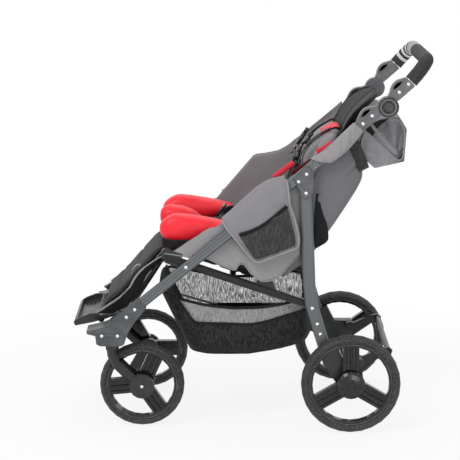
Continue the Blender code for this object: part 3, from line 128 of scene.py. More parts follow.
def fill(tree: bpy.types.NodeTree, node: bpy.types.Node, inputs: dict) -> None:
    """Gives a node's inputs their values, or links sockets to them.

    Args:
        tree: The node's tree.
        node: The node.
        inputs: Values or sockets, by input name or number.
    """
    for key, value in inputs.items():
        socket = node.inputs[key]
        if isinstance(value, Socket):
            tree.links.new(value, socket)
        else:
            socket.default_value = value


def add_node(tree: bpy.types.NodeTree, kind: str, inputs: dict | None = None, **settings: str) -> bpy.types.Node:
    """Adds a node with its settings and its inputs.

    Args:
        tree: The node tree it goes into.
        kind: The node's type name, without the ShaderNode it starts with.
        inputs: Values or sockets to link, by input name or number.
        **settings: The node's own properties.

    Returns:
        The new node.
    """
    node = tree.nodes.new(f"ShaderNode{kind}")
    for name, value in settings.items():
        setattr(node, name, value)
    fill(tree, node, inputs or {})
    return node


def per_metre(size_mm: float) -> float:
    """The texture scale, in cycles a metre, at which one cycle is size_mm millimetres long."""
    return 1000.0 / size_mm


@dataclass
class Surface:
    """A material under work: its node tree, its Principled shader and the object's own coordinates in metres."""

    tree: bpy.types.NodeTree
    shader: bpy.types.Node
    place: Socket

    def set(self, inputs: dict) -> None:
        """Sets the shader's inputs, or links sockets to them."""
        fill(self.tree, self.shader, inputs)

    def add(self, kind: str, inputs: dict, **settings: str) -> bpy.types.Node:
        """Adds a node to the material."""
        return add_node(self.tree, kind, inputs, **settings)

    def maths(self, operation: str, *values: Socket | float) -> Socket:
        """The result of one step of arithmetic."""
        return self.add("Math", dict(enumerate(values)), operation=operation).outputs[0]

    def cloud(self, size_mm: float, detail: float, at: Socket | None = None, output: str = "Fac") -> Socket:
        """Soft noise with patches of a size, at the object's own coordinates or at others."""
        inputs = {"Vector": self.place if at is None else at, "Scale": per_metre(size_mm), "Detail": detail}
        return self.add("TexNoise", inputs).outputs[output]

    def pores(self, size_mm: float) -> Socket:
        """The distance from the middles of cells of a size."""
        return self.add("TexVoronoi", {"Vector": self.place, "Scale": per_metre(size_mm)}).outputs["Distance"]

    def mapped(self, level: Socket, start: Flat, end: Flat) -> Socket:
        """A level moved from one range to another."""
        inputs = {"Value": level, "From Min": start[0], "From Max": start[1], "To Min": end[0], "To Max": end[1]}
        return self.add("MapRange", inputs).outputs["Result"]

    def ramp(self, level: Socket, *stops: tuple[float, str]) -> Socket:
        """Turns a level into a colour.

        Args:
            level: The level, from 0 to 1.
            *stops: The colour at each level, from the lowest up.

        Returns:
            The colour.
        """
        node = self.add("ValToRGB", {"Fac": level})
        elements = node.color_ramp.elements
        for element, (at, code) in ((elements[0], stops[0]), (elements[1], stops[-1])):
            element.position = at
            element.color = linear(code)
        for at, code in stops[1:-1]:
            elements.new(at).color = linear(code)
        return node.outputs["Color"]

    def bump(self, height: Socket, metres: float, below: Socket | None = None, strength: float = 1.0) -> Socket:
        """Raises the surface.

        Args:
            height: The relief, as a level.
            metres: The height of a level of 1.
            below: The relief that it lies on.
            strength: Its share.

        Returns:
            The surface's normal.
        """
        inputs = {"Height": height, "Distance": metres, "Strength": strength}
        if below is not None:
            inputs["Normal"] = below
        return self.add("Bump", inputs).outputs["Normal"]


# ---- finishes


@dataclass(frozen=True)
class Finish:
    """A surface finish: what it is made of, its colour and how it takes the light."""

    name: str
    colour: str
    roughness: float = 0.5
    gloss: float = 0.5
    metallic: float = field(default=0.0, kw_only=True)

    def make(self) -> bpy.types.Material:
        """Makes the material once, and gives the same one after that.

        Returns:
            The finished material.
        """
        made = bpy.data.materials.get(self.name)
        if made is None:
            made = bpy.data.materials.new(self.name)
            made.use_nodes = True
            tree = made.node_tree
            surface = Surface(tree, tree.nodes["Principled BSDF"], add_node(tree, "TexCoord").outputs["Object"])
            surface.set({"Base Color": linear(self.colour), "Roughness": self.roughness, "Metallic": self.metallic})
            surface.set({"Specular IOR Level": self.gloss})
            self.detail(surface)
        return made

    def detail(self, surface: Surface) -> None:
        """Adds what the real surface shows; each finish has its own."""
        raise NotImplementedError

    def mottle(self, surface: Surface, size_mm: float, other: str, low: float, high: float) -> None:
        """Blends the finish's own colour into another over patches, from a low to a high level of their noise."""
        surface.set({"Base Color": surface.ramp(surface.cloud(size_mm, 4.0), (low, self.colour), (high, other))})

    def grain(self, surface: Surface, size_mm: float, height_mm: float, cells: bool = False) -> None:
        """Raises a fine grain on the surface, of soft noise or of cells."""
        relief = surface.pores(size_mm) if cells else surface.cloud(size_mm, 2.0)
        surface.set({"Normal": surface.bump(relief, height_mm / 1000)})

    def wear(self, surface: Surface, size_mm: float, spread: float) -> None:
        """Varies the roughness by spread to either side over patches, as handling and dust do."""
        limits = (max(self.roughness - spread, 0.03), min(self.roughness + spread, 1.0))
        surface.set({"Roughness": surface.mapped(surface.cloud(size_mm, 5.0), (0.3, 0.7), limits)})


@dataclass(frozen=True)
class Texture:
    """What a real surface shows, its sizes in mm: patches of a second tone, a grain, worn patches, coat and sheen.

    The second tone comes in from the low to the high level of the patches' noise, and spread is how far the
    roughness goes to either side in the worn patches.
    """

    patch: float
    low: float
    high: float
    grain: float
    height: float
    cells: bool = False
    worn: float = 0.0
    spread: float = 0.0
    extras: tuple[tuple[str, float], ...] = ()


class Textures:
    """The textures of the finishes that aren't cloth, and of webbing."""

    # Orange peel 1.6 mm across, flake speckle 1.2 mm, drawn coarser than the real 0.1 mm so that it shows.
    POWDER = Texture(1.2, 0.40, 0.75, 1.6, 0.05, False, 60.0, 0.06, (("Coat Weight", 0.15), ("Coat Roughness", 0.25)))
    # Spark-eroded grain of 0.9 mm, or 0.7 mm on small mouldings, and a rubbed tone in patches of 25 mm.
    MOULDED = Texture(25.0, 0.45, 0.80, 0.9, 0.06, False, 30.0, 0.08)
    FINE_MOULDED = replace(MOULDED, grain=0.7)
    # A polished mould: waves 9 mm long, dust in patches of 14 mm.
    GLOSSY = Texture(14.0, 0.5, 0.85, 9.0, 0.08, False, 20.0, 0.07)
    # Closed-cell foam with open pores of 1.2 mm, and scuffs in patches of 7 mm.
    FOAM = Texture(7.0, 0.40, 0.72, 1.2, 0.16, True, 25.0, 0.08)
    # Coated vinyl: a leather grain with cells of 1.8 mm, and a tone that shifts over 70 mm.
    VINYL = Texture(70.0, 0.45, 0.90, 1.8, 0.07, True, 40.0, 0.05, (("Coat Weight", 0.25), ("Coat Roughness", 0.35)))
    # Zinc plating: dull patches of 3 mm, spin marks of 0.5 mm.
    ZINC = Texture(3.0, 0.4, 0.8, 0.5, 0.02, False, 2.0, 0.08)
    # Woven webbing: ribs 1.8 mm apart, a tone that shifts over 6 mm.
    WEBBING = Texture(6.0, 0.40, 0.75, 1.8, 0.25, extras=(("Sheen Weight", 0.2),))


@dataclass(frozen=True)
class Textured(Finish):
    """A finish that its texture and its second tone describe in full."""

    tone: str = "#000000"
    texture: Texture = Textures.MOULDED

    def detail(self, surface: Surface) -> None:
        """Blends in the second tone, raises the grain and varies the roughness.

        Args:
            surface: The material under work.
        """
        look = self.texture
        self.mottle(surface, look.patch, self.tone, look.low, look.high)
        self.grain(surface, look.grain, look.height, look.cells)
        if look.spread:
            self.wear(surface, look.worn, look.spread)
        surface.set(dict(look.extras))


@dataclass(frozen=True)
class TyreTread(Finish):
    """A foam tyre: moulded skin with cross blocks round the tread and grooves round the side wall."""

    scuffed: str = "#565658"
    hub: Triple = (0.0, 0.0, 0.0)
    blocks: int = 96
    groove_turns: float = 1100.0

    def detail(self, surface: Surface) -> None:
        """Blocks 9 mm apart round the tread, grooves round the wall and pores of 1.5 mm.

        Args:
            surface: The material under work.
        """
        self.mottle(surface, 6.0, self.scuffed, 0.42, 0.70)
        self.wear(surface, 30.0, 0.07)
        own = surface.add("VectorMath", {0: surface.place, 1: self.hub}, operation="SUBTRACT").outputs[0]
        split = surface.add("SeparateXYZ", {0: own}).outputs
        turn = surface.maths("MULTIPLY", surface.maths("ARCTAN2", split["X"], split["Z"]), float(self.blocks))
        level = surface.add("CombineXYZ", {0: split["X"], 1: split["Z"]}).outputs[0]
        away = surface.add("VectorMath", {0: level}, operation="LENGTH").outputs["Value"]
        groove = surface.maths("MULTIPLY", away, self.groove_turns)
        both = surface.maths("ADD", surface.maths("SINE", turn), surface.maths("SINE", groove))
        fine = surface.bump(surface.pores(1.5), 0.0002)
        surface.set({"Normal": surface.bump(both, 0.00035, fine)})


@dataclass(frozen=True)
class WovenCloth(Finish):
    """A plain weave of spun yarn: two sets of threads, a two-tone yarn and a soft bloom at grazing light."""

    yarn: str = "#96949a"
    shade: str = "#6f6d72"
    thread_mm: float = 1.6
    bloom: float = 0.25
    thread_height_mm: float = 0.10

    def detail(self, surface: Surface) -> None:
        """Threads as far apart as thread_mm, as the real 0.5 mm is too fine to show; slubs are 5 mm long.

        Args:
            surface: The material under work.
        """
        waves = []
        for axis in ((1.0, 0.35, 0.25), (-0.25, 0.35, 1.0)):
            run = surface.add("VectorMath", {0: surface.place, 1: axis}, operation="DOT_PRODUCT").outputs["Value"]
            turn = surface.maths("MULTIPLY", run, 2 * math.pi * per_metre(self.thread_mm))
            waves.append(surface.maths("SINE", turn))
        weave = surface.maths("MULTIPLY", *waves)
        slub = surface.cloud(1.8, 6.0)
        yarn = surface.ramp(slub, (0.36, self.shade), (0.51, self.colour), (0.66, self.yarn))
        fade = surface.mapped(surface.cloud(90.0, 2.0), (0.0, 1.0), (0.90, 1.08))
        toned = surface.add("Mix", {"Factor": 1.0, 6: yarn, 7: fade}, data_type="RGBA", blend_type="MULTIPLY")
        relief = surface.bump(weave, self.thread_height_mm / 1000, surface.bump(slub, 0.0001, strength=0.6))
        surface.set({"Base Color": toned.outputs[2], "Normal": relief})
        surface.set({"Sheen Weight": self.bloom, "Sheen Roughness": 0.5})


@dataclass(frozen=True)
class OpenNet(Finish):
    """Warp-knitted polyester net: wavy upright ladders of thread, see-through between them."""

    thread: str = "#5c5c5e"
    ladder_mm: float = 4.0
    open_share: float = 0.4

    def detail(self, surface: Surface) -> None:
        """Ladders that wave over 25 mm, and patches where the net is drawn in every 30 mm.

        Args:
            surface: The material under work.
        """
        sway = surface.cloud(25.0, 2.0, output="Color")
        push = surface.add("VectorMath", {0: sway, "Scale": 0.012}, operation="SCALE").outputs[0]
        moved = surface.add("VectorMath", {0: surface.place, 1: push}, operation="ADD").outputs[0]
        along = surface.add("Mapping", {"Vector": moved, "Scale": (1.0, 1.0, 0.12)}).outputs[0]
        ladder = surface.cloud(self.ladder_mm, 2.0, along)
        both = surface.add("Mix", {"Factor": 0.22, 2: ladder, 3: surface.cloud(30.0, 3.0)}).outputs[0]
        surface.set({"Base Color": surface.ramp(both, (0.44, self.colour), (0.56, self.thread))})
        surface.set({"Alpha": surface.mapped(ladder, (0.30, 0.72), (1.0 - self.open_share, 1.0))})
        surface.set({"Normal": surface.bump(ladder, 0.0006)})


class Finishes:
    """Every finish of the stroller."""

    FRAME = Textured("powder_coated_aluminium_grey", "#54585a", 0.38, 0.5, "#65696b", Textures.POWDER, metallic=0.30)
    STEEL = Textured("powder_coated_steel_black", "#141516", 0.32, 0.4, "#222426", Textures.POWDER, metallic=0.10)
    NYLON = Textured("moulded_glass_filled_nylon_black", "#1c1e20", 0.34, 0.5, "#303234", Textures.MOULDED)
    HINGE = Textured("moulded_glass_filled_nylon_grey", "#404346", 0.33, 0.6, "#585c5f", Textures.MOULDED)
    RIM = Textured("moulded_abs_gloss_black", "#0a0a0b", 0.18, 0.5, "#2a2a2c", Textures.GLOSSY)
    GRIP = Textured("eva_foam_grip", "#2e2e2f", 0.72, 0.3, "#3a3a3b", Textures.FOAM)
    BAND = Textured("eva_foam_band_pale", "#d4d4d2", 0.70, 0.3, "#e0e0de", Textures.FOAM)
    GREY = WovenCloth("woven_polyester_grey", "#868488", 0.66, 0.3, "#8c8a8e", "#807e82", 1.2, 0.15, 0.04)
    # The grey cloth in a darker tone, for the back tub and the canopy bow: painted shade.
    TUB = WovenCloth("woven_polyester_grey_tub", "#6e6c70", 0.66, 0.3, "#747276", "#686669", 1.2, 0.15, 0.04)
    # The grey cloth in a lighter tone, for the inner walls, the wings and the tube sleeves: painted light.
    WALL = WovenCloth("woven_polyester_grey_wall", "#949294", 0.66, 0.3, "#9a989a", "#8e8c8e", 1.2, 0.15, 0.04)
    TRIM = WovenCloth("woven_polyester_binding_grey", "#979698", 0.60, 0.3, "#a7a6a8", "#838286", 1.2, 0.12)
    BLACK = WovenCloth("woven_ripstop_black", "#1b1b1c", 0.62, 0.2, "#252527", "#141415", 2.4, 0.03)
    HEAD = WovenCloth("woven_ripstop_charcoal", "#1a1a1b", 0.60, 0.2, "#222223", "#141415", 1.8, 0.02)
    DARK_TRIM = WovenCloth("woven_binding_black", "#101011", 0.60, 0.2, "#1a1a1c", "#0b0b0c", 1.2, 0.04)
    MAROON = WovenCloth("woven_binding_maroon", "#5a1219", 0.66, 0.2, "#6a1c22", "#460d13", 1.2, 0.05)
    RED = Textured("pu_coated_vinyl_red", "#ff2034", 0.50, 0.35, "#e01324", Textures.VINYL)
    RED_LINER = WovenCloth("woven_liner_red", "#f23a4b", 0.66, 0.3, "#fb4d5d", "#dd2a3a", 1.4, 0.1)
    NET_PALE = OpenNet("knitted_net_pale", "#c0c0c0", 0.8, 0.2, "#a2a2a3", 2.6, 0.94)
    NET_DARK = OpenNet("knitted_net_dark", "#383637", 0.8, 0.2, "#4a4849", 3.0, 0.10)
    NET_BLACK = OpenNet("knitted_net_black", "#131314", 0.7, 0.2, "#2f2f30", 3.4, 0.0)
    ZINC = Textured("zinc_plated_steel", "#e8eaec", 0.26, 0.5, "#b4b6b8", Textures.ZINC, metallic=0.90)
    STRAP = Textured("polyester_webbing_black", "#151516", 0.58, 0.3, "#3a3a3c", Textures.WEBBING)
    BUCKLE = Textured("moulded_acetal_buckle", "#0e0e0f", 0.28, 0.5, "#1c1c1e", Textures.FINE_MOULDED)


# ---- shapes


def side(x: float, z: float, y: float = 0.0) -> Vector:
    """The point at (x, z) of the side view, y metres towards the far side."""
    return Vector((x - SIDE_MIDDLE, y, z))


def drawn(points: Line | list[Flat], y: float) -> list[Vector]:
    """A line of the side view, held at one y."""
    return [side(x, z, y) for x, z in points]


HIP = (0.1000, 0.4450)
BACK_ANGLE = math.radians(62.5)
SEAT_FRONT = (-0.1860, 0.5000)
SEAT_REAR = (0.2360, 0.3570)


def back_point(up: float, behind: float, y: float = 0.0) -> Vector:
    """The point so far up the backrest from its hinge and so far to its rear, square to it."""
    line = Vector((math.cos(BACK_ANGLE), 0, math.sin(BACK_ANGLE)))
    return side(*HIP) + line * up + Vector((line.z, 0, -line.x)) * behind + Vector((0, y, 0))


def seat_point(run: float, rise: float, y: float = 0.0) -> Vector:
    """The point so far back from the knee along the seat-base tube and so far up, square to it."""
    line = (side(*SEAT_REAR) - side(*SEAT_FRONT)).normalized()
    return side(*SEAT_FRONT) + line * run + Vector((-line.z, 0, line.x)) * rise + Vector((0, y, 0))


def spaced(points: list[Vector], steps: int) -> list[Vector]:
    """Points at equal distances along a line, its ends included.

    Args:
        points: The line's corners.
        steps: The number of equal runs.

    Returns:
        steps + 1 points.
    """
    lengths = [0.0]
    for a, b in zip(points, points[1:]):
        lengths.append(lengths[-1] + (b - a).length)
    found, k = [], 0
    for i in range(steps + 1):
        at = lengths[-1] * i / steps
        while k < len(points) - 2 and lengths[k + 1] < at:
            k += 1
        run = lengths[k + 1] - lengths[k]
        found.append(points[k].lerp(points[k + 1], (at - lengths[k]) / run if run else 0.0))
    return found


def eased(points: list[Vector], rounds: int = 2) -> list[Vector]:
    """Cuts a line's corners round, and keeps its ends.

    Args:
        points: The line's corners.
        rounds: How many times each corner is cut.

    Returns:
        The smoother line.
    """
    for _ in range(rounds):
        cut = [points[0]]
        for a, b in zip(points, points[1:]):
            cut += [a.lerp(b, 0.25), a.lerp(b, 0.75)]
        points = [*cut, points[-1]]
    return points


def curved(points: list[Vector], steps: int, rounds: int = 2) -> list[Vector]:
    """Points at equal distances along a line whose corners are cut round."""
    return spaced(eased(points, rounds), steps)


def spanned(
    bottom: list[Vector], top: list[Vector], front: list[Vector], rear: list[Vector], across: int, up: int
) -> Rows:
    """A surface stretched over four edges.

    Args:
        bottom: The lower edge, front to rear.
        top: The upper edge, front to rear.
        front: The front edge, bottom to top.
        rear: The rear edge, bottom to top.
        across: Steps from front to rear.
        up: Steps from bottom to top.

    Returns:
        Rows of points, from the bottom row up.
    """
    low, high = spaced(bottom, across), spaced(top, across)
    first, last = spaced(front, up), spaced(rear, up)
    rows = []
    for j in range(up + 1):
        v = j / up
        row = []
        for i in range(across + 1):
            u = i / across
            ruled = low[i].lerp(high[i], v) + first[j].lerp(last[j], u)
            corners = low[0].lerp(low[-1], u).lerp(high[0].lerp(high[-1], u), v)
            row.append(ruled - corners)
        rows.append(row)
    return rows


@dataclass(frozen=True)
class Fold:
    """A fold in cloth: a ridge, or a valley where its height is below zero, along a line of the side view."""

    start: Flat
    end: Flat
    height: float
    width: float

    def lift(self, point: Vector) -> float:
        """How far the fold lifts the cloth at a point.

        Args:
            point: A point of the cloth.

        Returns:
            The lift in metres.
        """
        a, b = side(*self.start), side(*self.end)
        p = Vector((point.x, 0, point.z))
        line = b - a
        share = max(0.0, min(1.0, (p - a).dot(line) / max(line.length_squared, 1e-9)))
        distance = (p - (a + line * share)).length
        return self.height * math.exp(-((distance / self.width) ** 2)) * (0.55 + 0.45 * math.sin(math.pi * share))


def smoothed(mesh: bpy.types.Mesh, smooth: bool = True) -> None:
    """Shades a mesh smooth, or flat."""
    for polygon in mesh.polygons:
        polygon.use_smooth = smooth


def oriented(mesh: bpy.types.Mesh, weld: float = 0.0) -> None:
    """Turns a mesh's faces outward.

    Args:
        mesh: The mesh.
        weld: Where it isn't 0, points nearer to each other than this become one first.
    """
    bm = bmesh.new()
    bm.from_mesh(mesh)
    if weld:
        bmesh.ops.remove_doubles(bm, verts=bm.verts, dist=weld)
    bmesh.ops.recalc_face_normals(bm, faces=bm.faces)
    bm.to_mesh(mesh)
    bm.free()


def mesh_piece(name: str, points: list[Vector], faces: Faces, finish: Finish, smooth: bool = True) -> Piece:
    """Makes a mesh object.

    Args:
        name: The piece's name.
        points: Its vertices.
        faces: Its faces, as vertex numbers.
        finish: Its finish.
        smooth: Whether it is shaded smooth.

    Returns:
        The new object.
    """
    mesh = bpy.data.meshes.new(name)
    mesh.from_pydata([tuple(p) for p in points], [], faces)
    mesh.materials.append(finish.make())
    piece = bpy.data.objects.new(name, mesh)
    bpy.context.scene.collection.objects.link(piece)
    oriented(mesh)
    smoothed(mesh, smooth)
    return piece


def grid_faces(rows: int, wide: int, round_row: bool = False, round_rows: bool = False) -> Faces:
    """The four-sided faces between rows of points.

    Args:
        rows: The number of rows.
        wide: The number of points in a row.
        round_row: Whether each row joins up with its own start.
        round_rows: Whether the last row joins up with the first.

    Returns:
        The faces, as vertex numbers.
    """
    faces = []
    for j in range(rows if round_rows else rows - 1):
        a, b = j * wide, (j + 1) % rows * wide
        for i in range(wide if round_row else wide - 1):
            k = (i + 1) % wide
            faces.append((a + i, a + k, b + k, b + i))
    return faces


def settled(piece: Piece) -> None:
    """Applies a piece's modifiers to its mesh.

    Args:
        piece: The object.
    """
    graph = bpy.context.evaluated_depsgraph_get()
    mesh = bpy.data.meshes.new_from_object(piece.evaluated_get(graph))
    piece.modifiers.clear()
    piece.data = mesh
    smoothed(mesh)


def thickened(piece: Piece, thickness: float) -> float:
    """Gives a cloth piece its thickness, half to each side.

    Args:
        piece: The piece, as a surface.
        thickness: The cloth's thickness.

    Returns:
        The cloth's area.
    """
    area = sum(polygon.area for polygon in piece.data.polygons)
    wall = piece.modifiers.new("thickness", "SOLIDIFY")
    wall.thickness = thickness
    wall.offset = 0.0
    settled(piece)
    return area


def run_length(path: list[Vector]) -> float:
    """The length of a line of points."""
    return sum((b - a).length for a, b in zip(path, path[1:]))


@dataclass
class ClothPanel:
    """A sheet of cloth, shaped as rows of points before it is sewn into a mesh."""

    name: str
    rows: Rows
    finish: Finish
    thickness: float = 0.0018

    def fold(self, folds: list[Fold], outward: Vector) -> None:
        """Presses folds into the cloth.

        Args:
            folds: The folds.
            outward: The way a ridge stands out.
        """
        for row in self.rows:
            for i, point in enumerate(row):
                row[i] = point + outward * sum(fold.lift(point) for fold in folds)

    def crumple(self, height: float, size: Triple, seed: float, outward: Vector) -> None:
        """Adds soft unevenness to the cloth.

        Args:
            height: How far it goes to either side.
            size: The size of the unevenness along each axis, in metres.
            seed: A number that picks the pattern.
            outward: The way it goes.
        """
        scale, start = Vector(size), Vector((seed, seed, seed))
        for row in self.rows:
            for i, point in enumerate(row):
                place = Vector((point.x / scale.x, point.y / scale.y, point.z / scale.z)) + start
                row[i] = point + outward * (height * noise.noise(place))

    def lay(self, held: Held, rests_on: list[str], body: str, slot: str, *nodes: str) -> None:
        """Args:
            held: Not used.
            rests_on: Not used.
            body: The body it moves with.
            slot: The record's material slot.
            *nodes: The nodes it replaces.
        """
        points = [point for row in self.rows for point in row]
        piece = mesh_piece(self.name, points, grid_faces(len(self.rows), len(self.rows[0])), self.finish)
        area = thickened(piece, self.thickness)
        carried(piece, body, slot, *nodes)


def lofted(name: str, rings: Rows, finish: Finish, closed: bool = False) -> Piece:
    """A form through rings of points.

    Args:
        name: The piece's name.
        rings: The rings, each with the same number of points.
        finish: Its finish.
        closed: Whether the last ring joins up with the first; where not, the end rings are closed off.

    Returns:
        The new object.
    """
    count = len(rings[0])
    faces = grid_faces(len(rings), count, True, closed)
    if not closed:
        end = (len(rings) - 1) * count
        faces += [tuple(reversed(range(count))), tuple(range(end, end + count))]
    return mesh_piece(name, [point for circle in rings for point in circle], faces, finish)


def section_sweep(
    name: str,
    path: list[Vector],
    section: list[Flat],
    finish: Finish,
    across: Vector | None = None,
    closed: bool = False,
) -> Piece:
    """Sweeps a closed section along a path.

    Args:
        name: The piece's name.
        path: The points it follows.
        section: The section's points: across, then out.
        finish: The finish.
        across: The section's first direction, where it is the same all along.
        closed: Whether the path joins up.

    Returns:
        The new object.
    """
    rings, last, normal = [], len(path) - 1, None
    for i, point in enumerate(path):
        before = path[i - 1] if i or closed else path[0]
        after = path[(i + 1) % len(path)] if i < last or closed else path[last]
        line = (after - before).normalized()
        if across is not None:
            normal = (across - line * across.dot(line)).normalized()
        elif normal is None:
            normal = line.orthogonal().normalized()
        else:
            normal = (normal - line * normal.dot(line)).normalized()
        second = line.cross(normal)
        rings.append([point + normal * a + second * b for a, b in section])
    return lofted(name, rings, finish, closed)


def ring(radius: float, sides: int) -> list[Flat]:
    """A round section's points."""
    angles = (2 * math.pi * k / sides for k in range(sides))
    return [(radius * math.cos(angle), radius * math.sin(angle)) for angle in angles]


def piping(name: str, path: list[Vector], radius: float, finish: Finish, closed: bool = False) -> Piece:
    """A cord of piping along a seam, which may join up."""
    return section_sweep(name, path, ring(radius, 8), finish, None, closed)


def strap(name: str, path: list[Vector], across: Vector, wide: float, thick: float, finish: Finish) -> Piece:
    """A flat strap with softly rounded edges.

    Args:
        name: The piece's name.
        path: Its middle line.
        across: The direction of its width.
        wide: Its width.
        thick: Its thickness.
        finish: Its finish.

    Returns:
        The new object.
    """
    w, t = wide / 2, thick / 2
    under = [(-w, -t * 0.4), (-w + t, -t), (w - t, -t), (w, -t * 0.4)]
    over = [(w, t * 0.4), (w - t, t), (-w + t, t), (-w, t * 0.4)]
    return section_sweep(name, path, under + over, finish, across)


def turned(name: str, profile: list[Flat], centre: Vector, axis: Vector, finish: Finish, steps: int) -> Piece:
    """A turned piece.

    Args:
        name: The piece's name.
        profile: Its points as (radius, height along the axis), from the axis round and back to it.
        centre: The point that the heights start from.
        axis: Its axis.
        finish: Its finish.
        steps: Steps round.

    Returns:
        The new object.
    """
    axis = axis.normalized()
    first = axis.orthogonal().normalized()
    second = axis.cross(first)
    points = []
    for k in range(steps):
        angle = 2 * math.pi * k / steps
        out = first * math.cos(angle) + second * math.sin(angle)
        points += [centre + out * radius + axis * height for radius, height in profile]
    piece = mesh_piece(name, points, grid_faces(steps, len(profile), False, True), finish)
    oriented(piece.data, WELD)
    return piece


def joined(name: str, pieces: list[Piece]) -> Piece:
    """Makes one piece of several.

    Args:
        name: The name of the whole.
        pieces: The pieces.

    Returns:
        The joined object.
    """
    whole, rest = pieces[0], pieces[1:]
    bm = bmesh.new()
    for piece in pieces:
        bm.from_mesh(piece.data)
    bm.to_mesh(whole.data)
    bm.free()
    for piece in rest:
        bpy.data.objects.remove(piece)
    whole.name = name
    whole.data.name = name
    smoothed(whole.data)
    return whole


def carried(piece: Piece, body: str, slot: str, *nodes: str) -> Piece:
    """Puts a piece on its body and hides the nodes it stands for.

    Args:
        piece: The piece.
        body: The body it moves with.
        slot: Not used.
        *nodes: The nodes it replaces.

    Returns:
        The piece.
    """
    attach(piece, body)
    if nodes:
        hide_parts(*nodes)
    LOG.info("%s rides on %s", piece.name, body)
    return piece


def dress(finish: Finish, *nodes: str) -> None:
    """Gives model nodes their finish.

    Args:
        finish: The finish.
        *nodes: The nodes' names.
    """
    for name in nodes:
        mesh = frame["nodes"][name].data
        mesh.materials.clear()
        mesh.materials.append(finish.make())
        LOG.info("%s finished in %s", name, finish.name)


def reach_of(node: str) -> float:
    """How far out from the stroller's middle a node reaches."""
    return max(abs(corner.y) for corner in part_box(node))


# ---- padded pieces


@dataclass(frozen=True)
class Padding:
    """How a pad is filled: the voxel size of its skin, its pressure and how far the skin may swell."""

    voxel: float = 0.005
    pressure: float = 4.0
    cap: float = 0.006
    smooth: int = 6


def pad_from(node: str, name: str, finish: Finish, padding: Padding) -> Piece:
    """A stuffed pad with the form of a model node.

    Args:
        node: The node whose form it takes.
        name: The pad's name.
        finish: Its cover.
        padding: How it is filled.

    Returns:
        The new object.
    """
    piece = bpy.data.objects.new(name, frame["nodes"][node].data.copy())
    bpy.context.scene.collection.objects.link(piece)
    return stuffed(piece, finish, padding)


def stuffed(piece: Piece, finish: Finish, padding: Padding) -> Piece:
    """Gives a closed form an even skin and fills it.

    Args:
        piece: The form.
        finish: Its cover.
        padding: How it is filled.

    Returns:
        The same object.
    """
    remesh = piece.modifiers.new("skin", "REMESH")
    remesh.mode = "VOXEL"
    remesh.voxel_size = padding.voxel
    even = piece.modifiers.new("even", "SMOOTH")
    even.iterations = padding.smooth
    even.factor = 0.5
    settled(piece)
    piece.data.materials.clear()
    piece.data.materials.append(finish.make())
    swell(piece, padding)
    return piece


def swell(piece: Piece, padding: Padding) -> None:
    """Blows the pad's skin up a little with a cloth simulation, and keeps the result.

    Args:
        piece: The pad.
        padding: Its pressure and the cap on its swelling.
    """
    scene = bpy.context.scene
    rest = np.array([v.co for v in piece.data.vertices], float)
    cloth = piece.modifiers.new("swell", "CLOTH")
    cloth.settings.use_pressure = True
    cloth.settings.uniform_pressure_force = padding.pressure
    cloth.settings.effector_weights.gravity = 0.0
    cloth.settings.quality = 4
    cloth.settings.tension_stiffness = SWELL_STIFFNESS
    cloth.settings.compression_stiffness = SWELL_STIFFNESS
    cloth.point_cache.frame_start = 1
    cloth.point_cache.frame_end = SWELL_STEPS
    for step in range(1, SWELL_STEPS + 1):
        scene.frame_set(step)
    graph = bpy.context.evaluated_depsgraph_get()
    moved = np.array([v.co for v in piece.evaluated_get(graph).data.vertices], float)
    piece.modifiers.clear()
    scene.frame_set(1)
    shift = moved - rest
    length = np.linalg.norm(shift, axis=1, keepdims=True)
    shift *= np.minimum(1.0, padding.cap / np.maximum(length, 1e-9))
    piece.data.vertices.foreach_set("co", (rest + shift).astype(np.float32).ravel())
    piece.data.update()


def channelled(piece: Piece, places: list[tuple[Vector, Vector]], depth: float, width: float) -> None:
    """Draws a pad in along sewn channels.

    Args:
        piece: The pad.
        places: Each channel as a point on it and the direction square to it.
        depth: How deep it is drawn in.
        width: How wide the channel is.
    """
    vertices = piece.data.vertices
    points = np.array([v.co for v in vertices], float)
    normals = np.array([v.normal for v in vertices], float)
    draw = np.zeros(len(points))
    for at, across in places:
        distance = (points - np.array(at)) @ np.array(across.normalized())
        draw = np.maximum(draw, depth * np.exp(-((distance / width) ** 2)))
    points -= normals * draw[:, None]
    vertices.foreach_set("co", points.astype(np.float32).ravel())
    piece.data.update()


def refined(piece: Piece) -> None:
    """Subdivides a piece once, smoothly."""
    piece.modifiers.new("fine", "SUBSURF").levels = 1
    settled(piece)


# ---- the studio


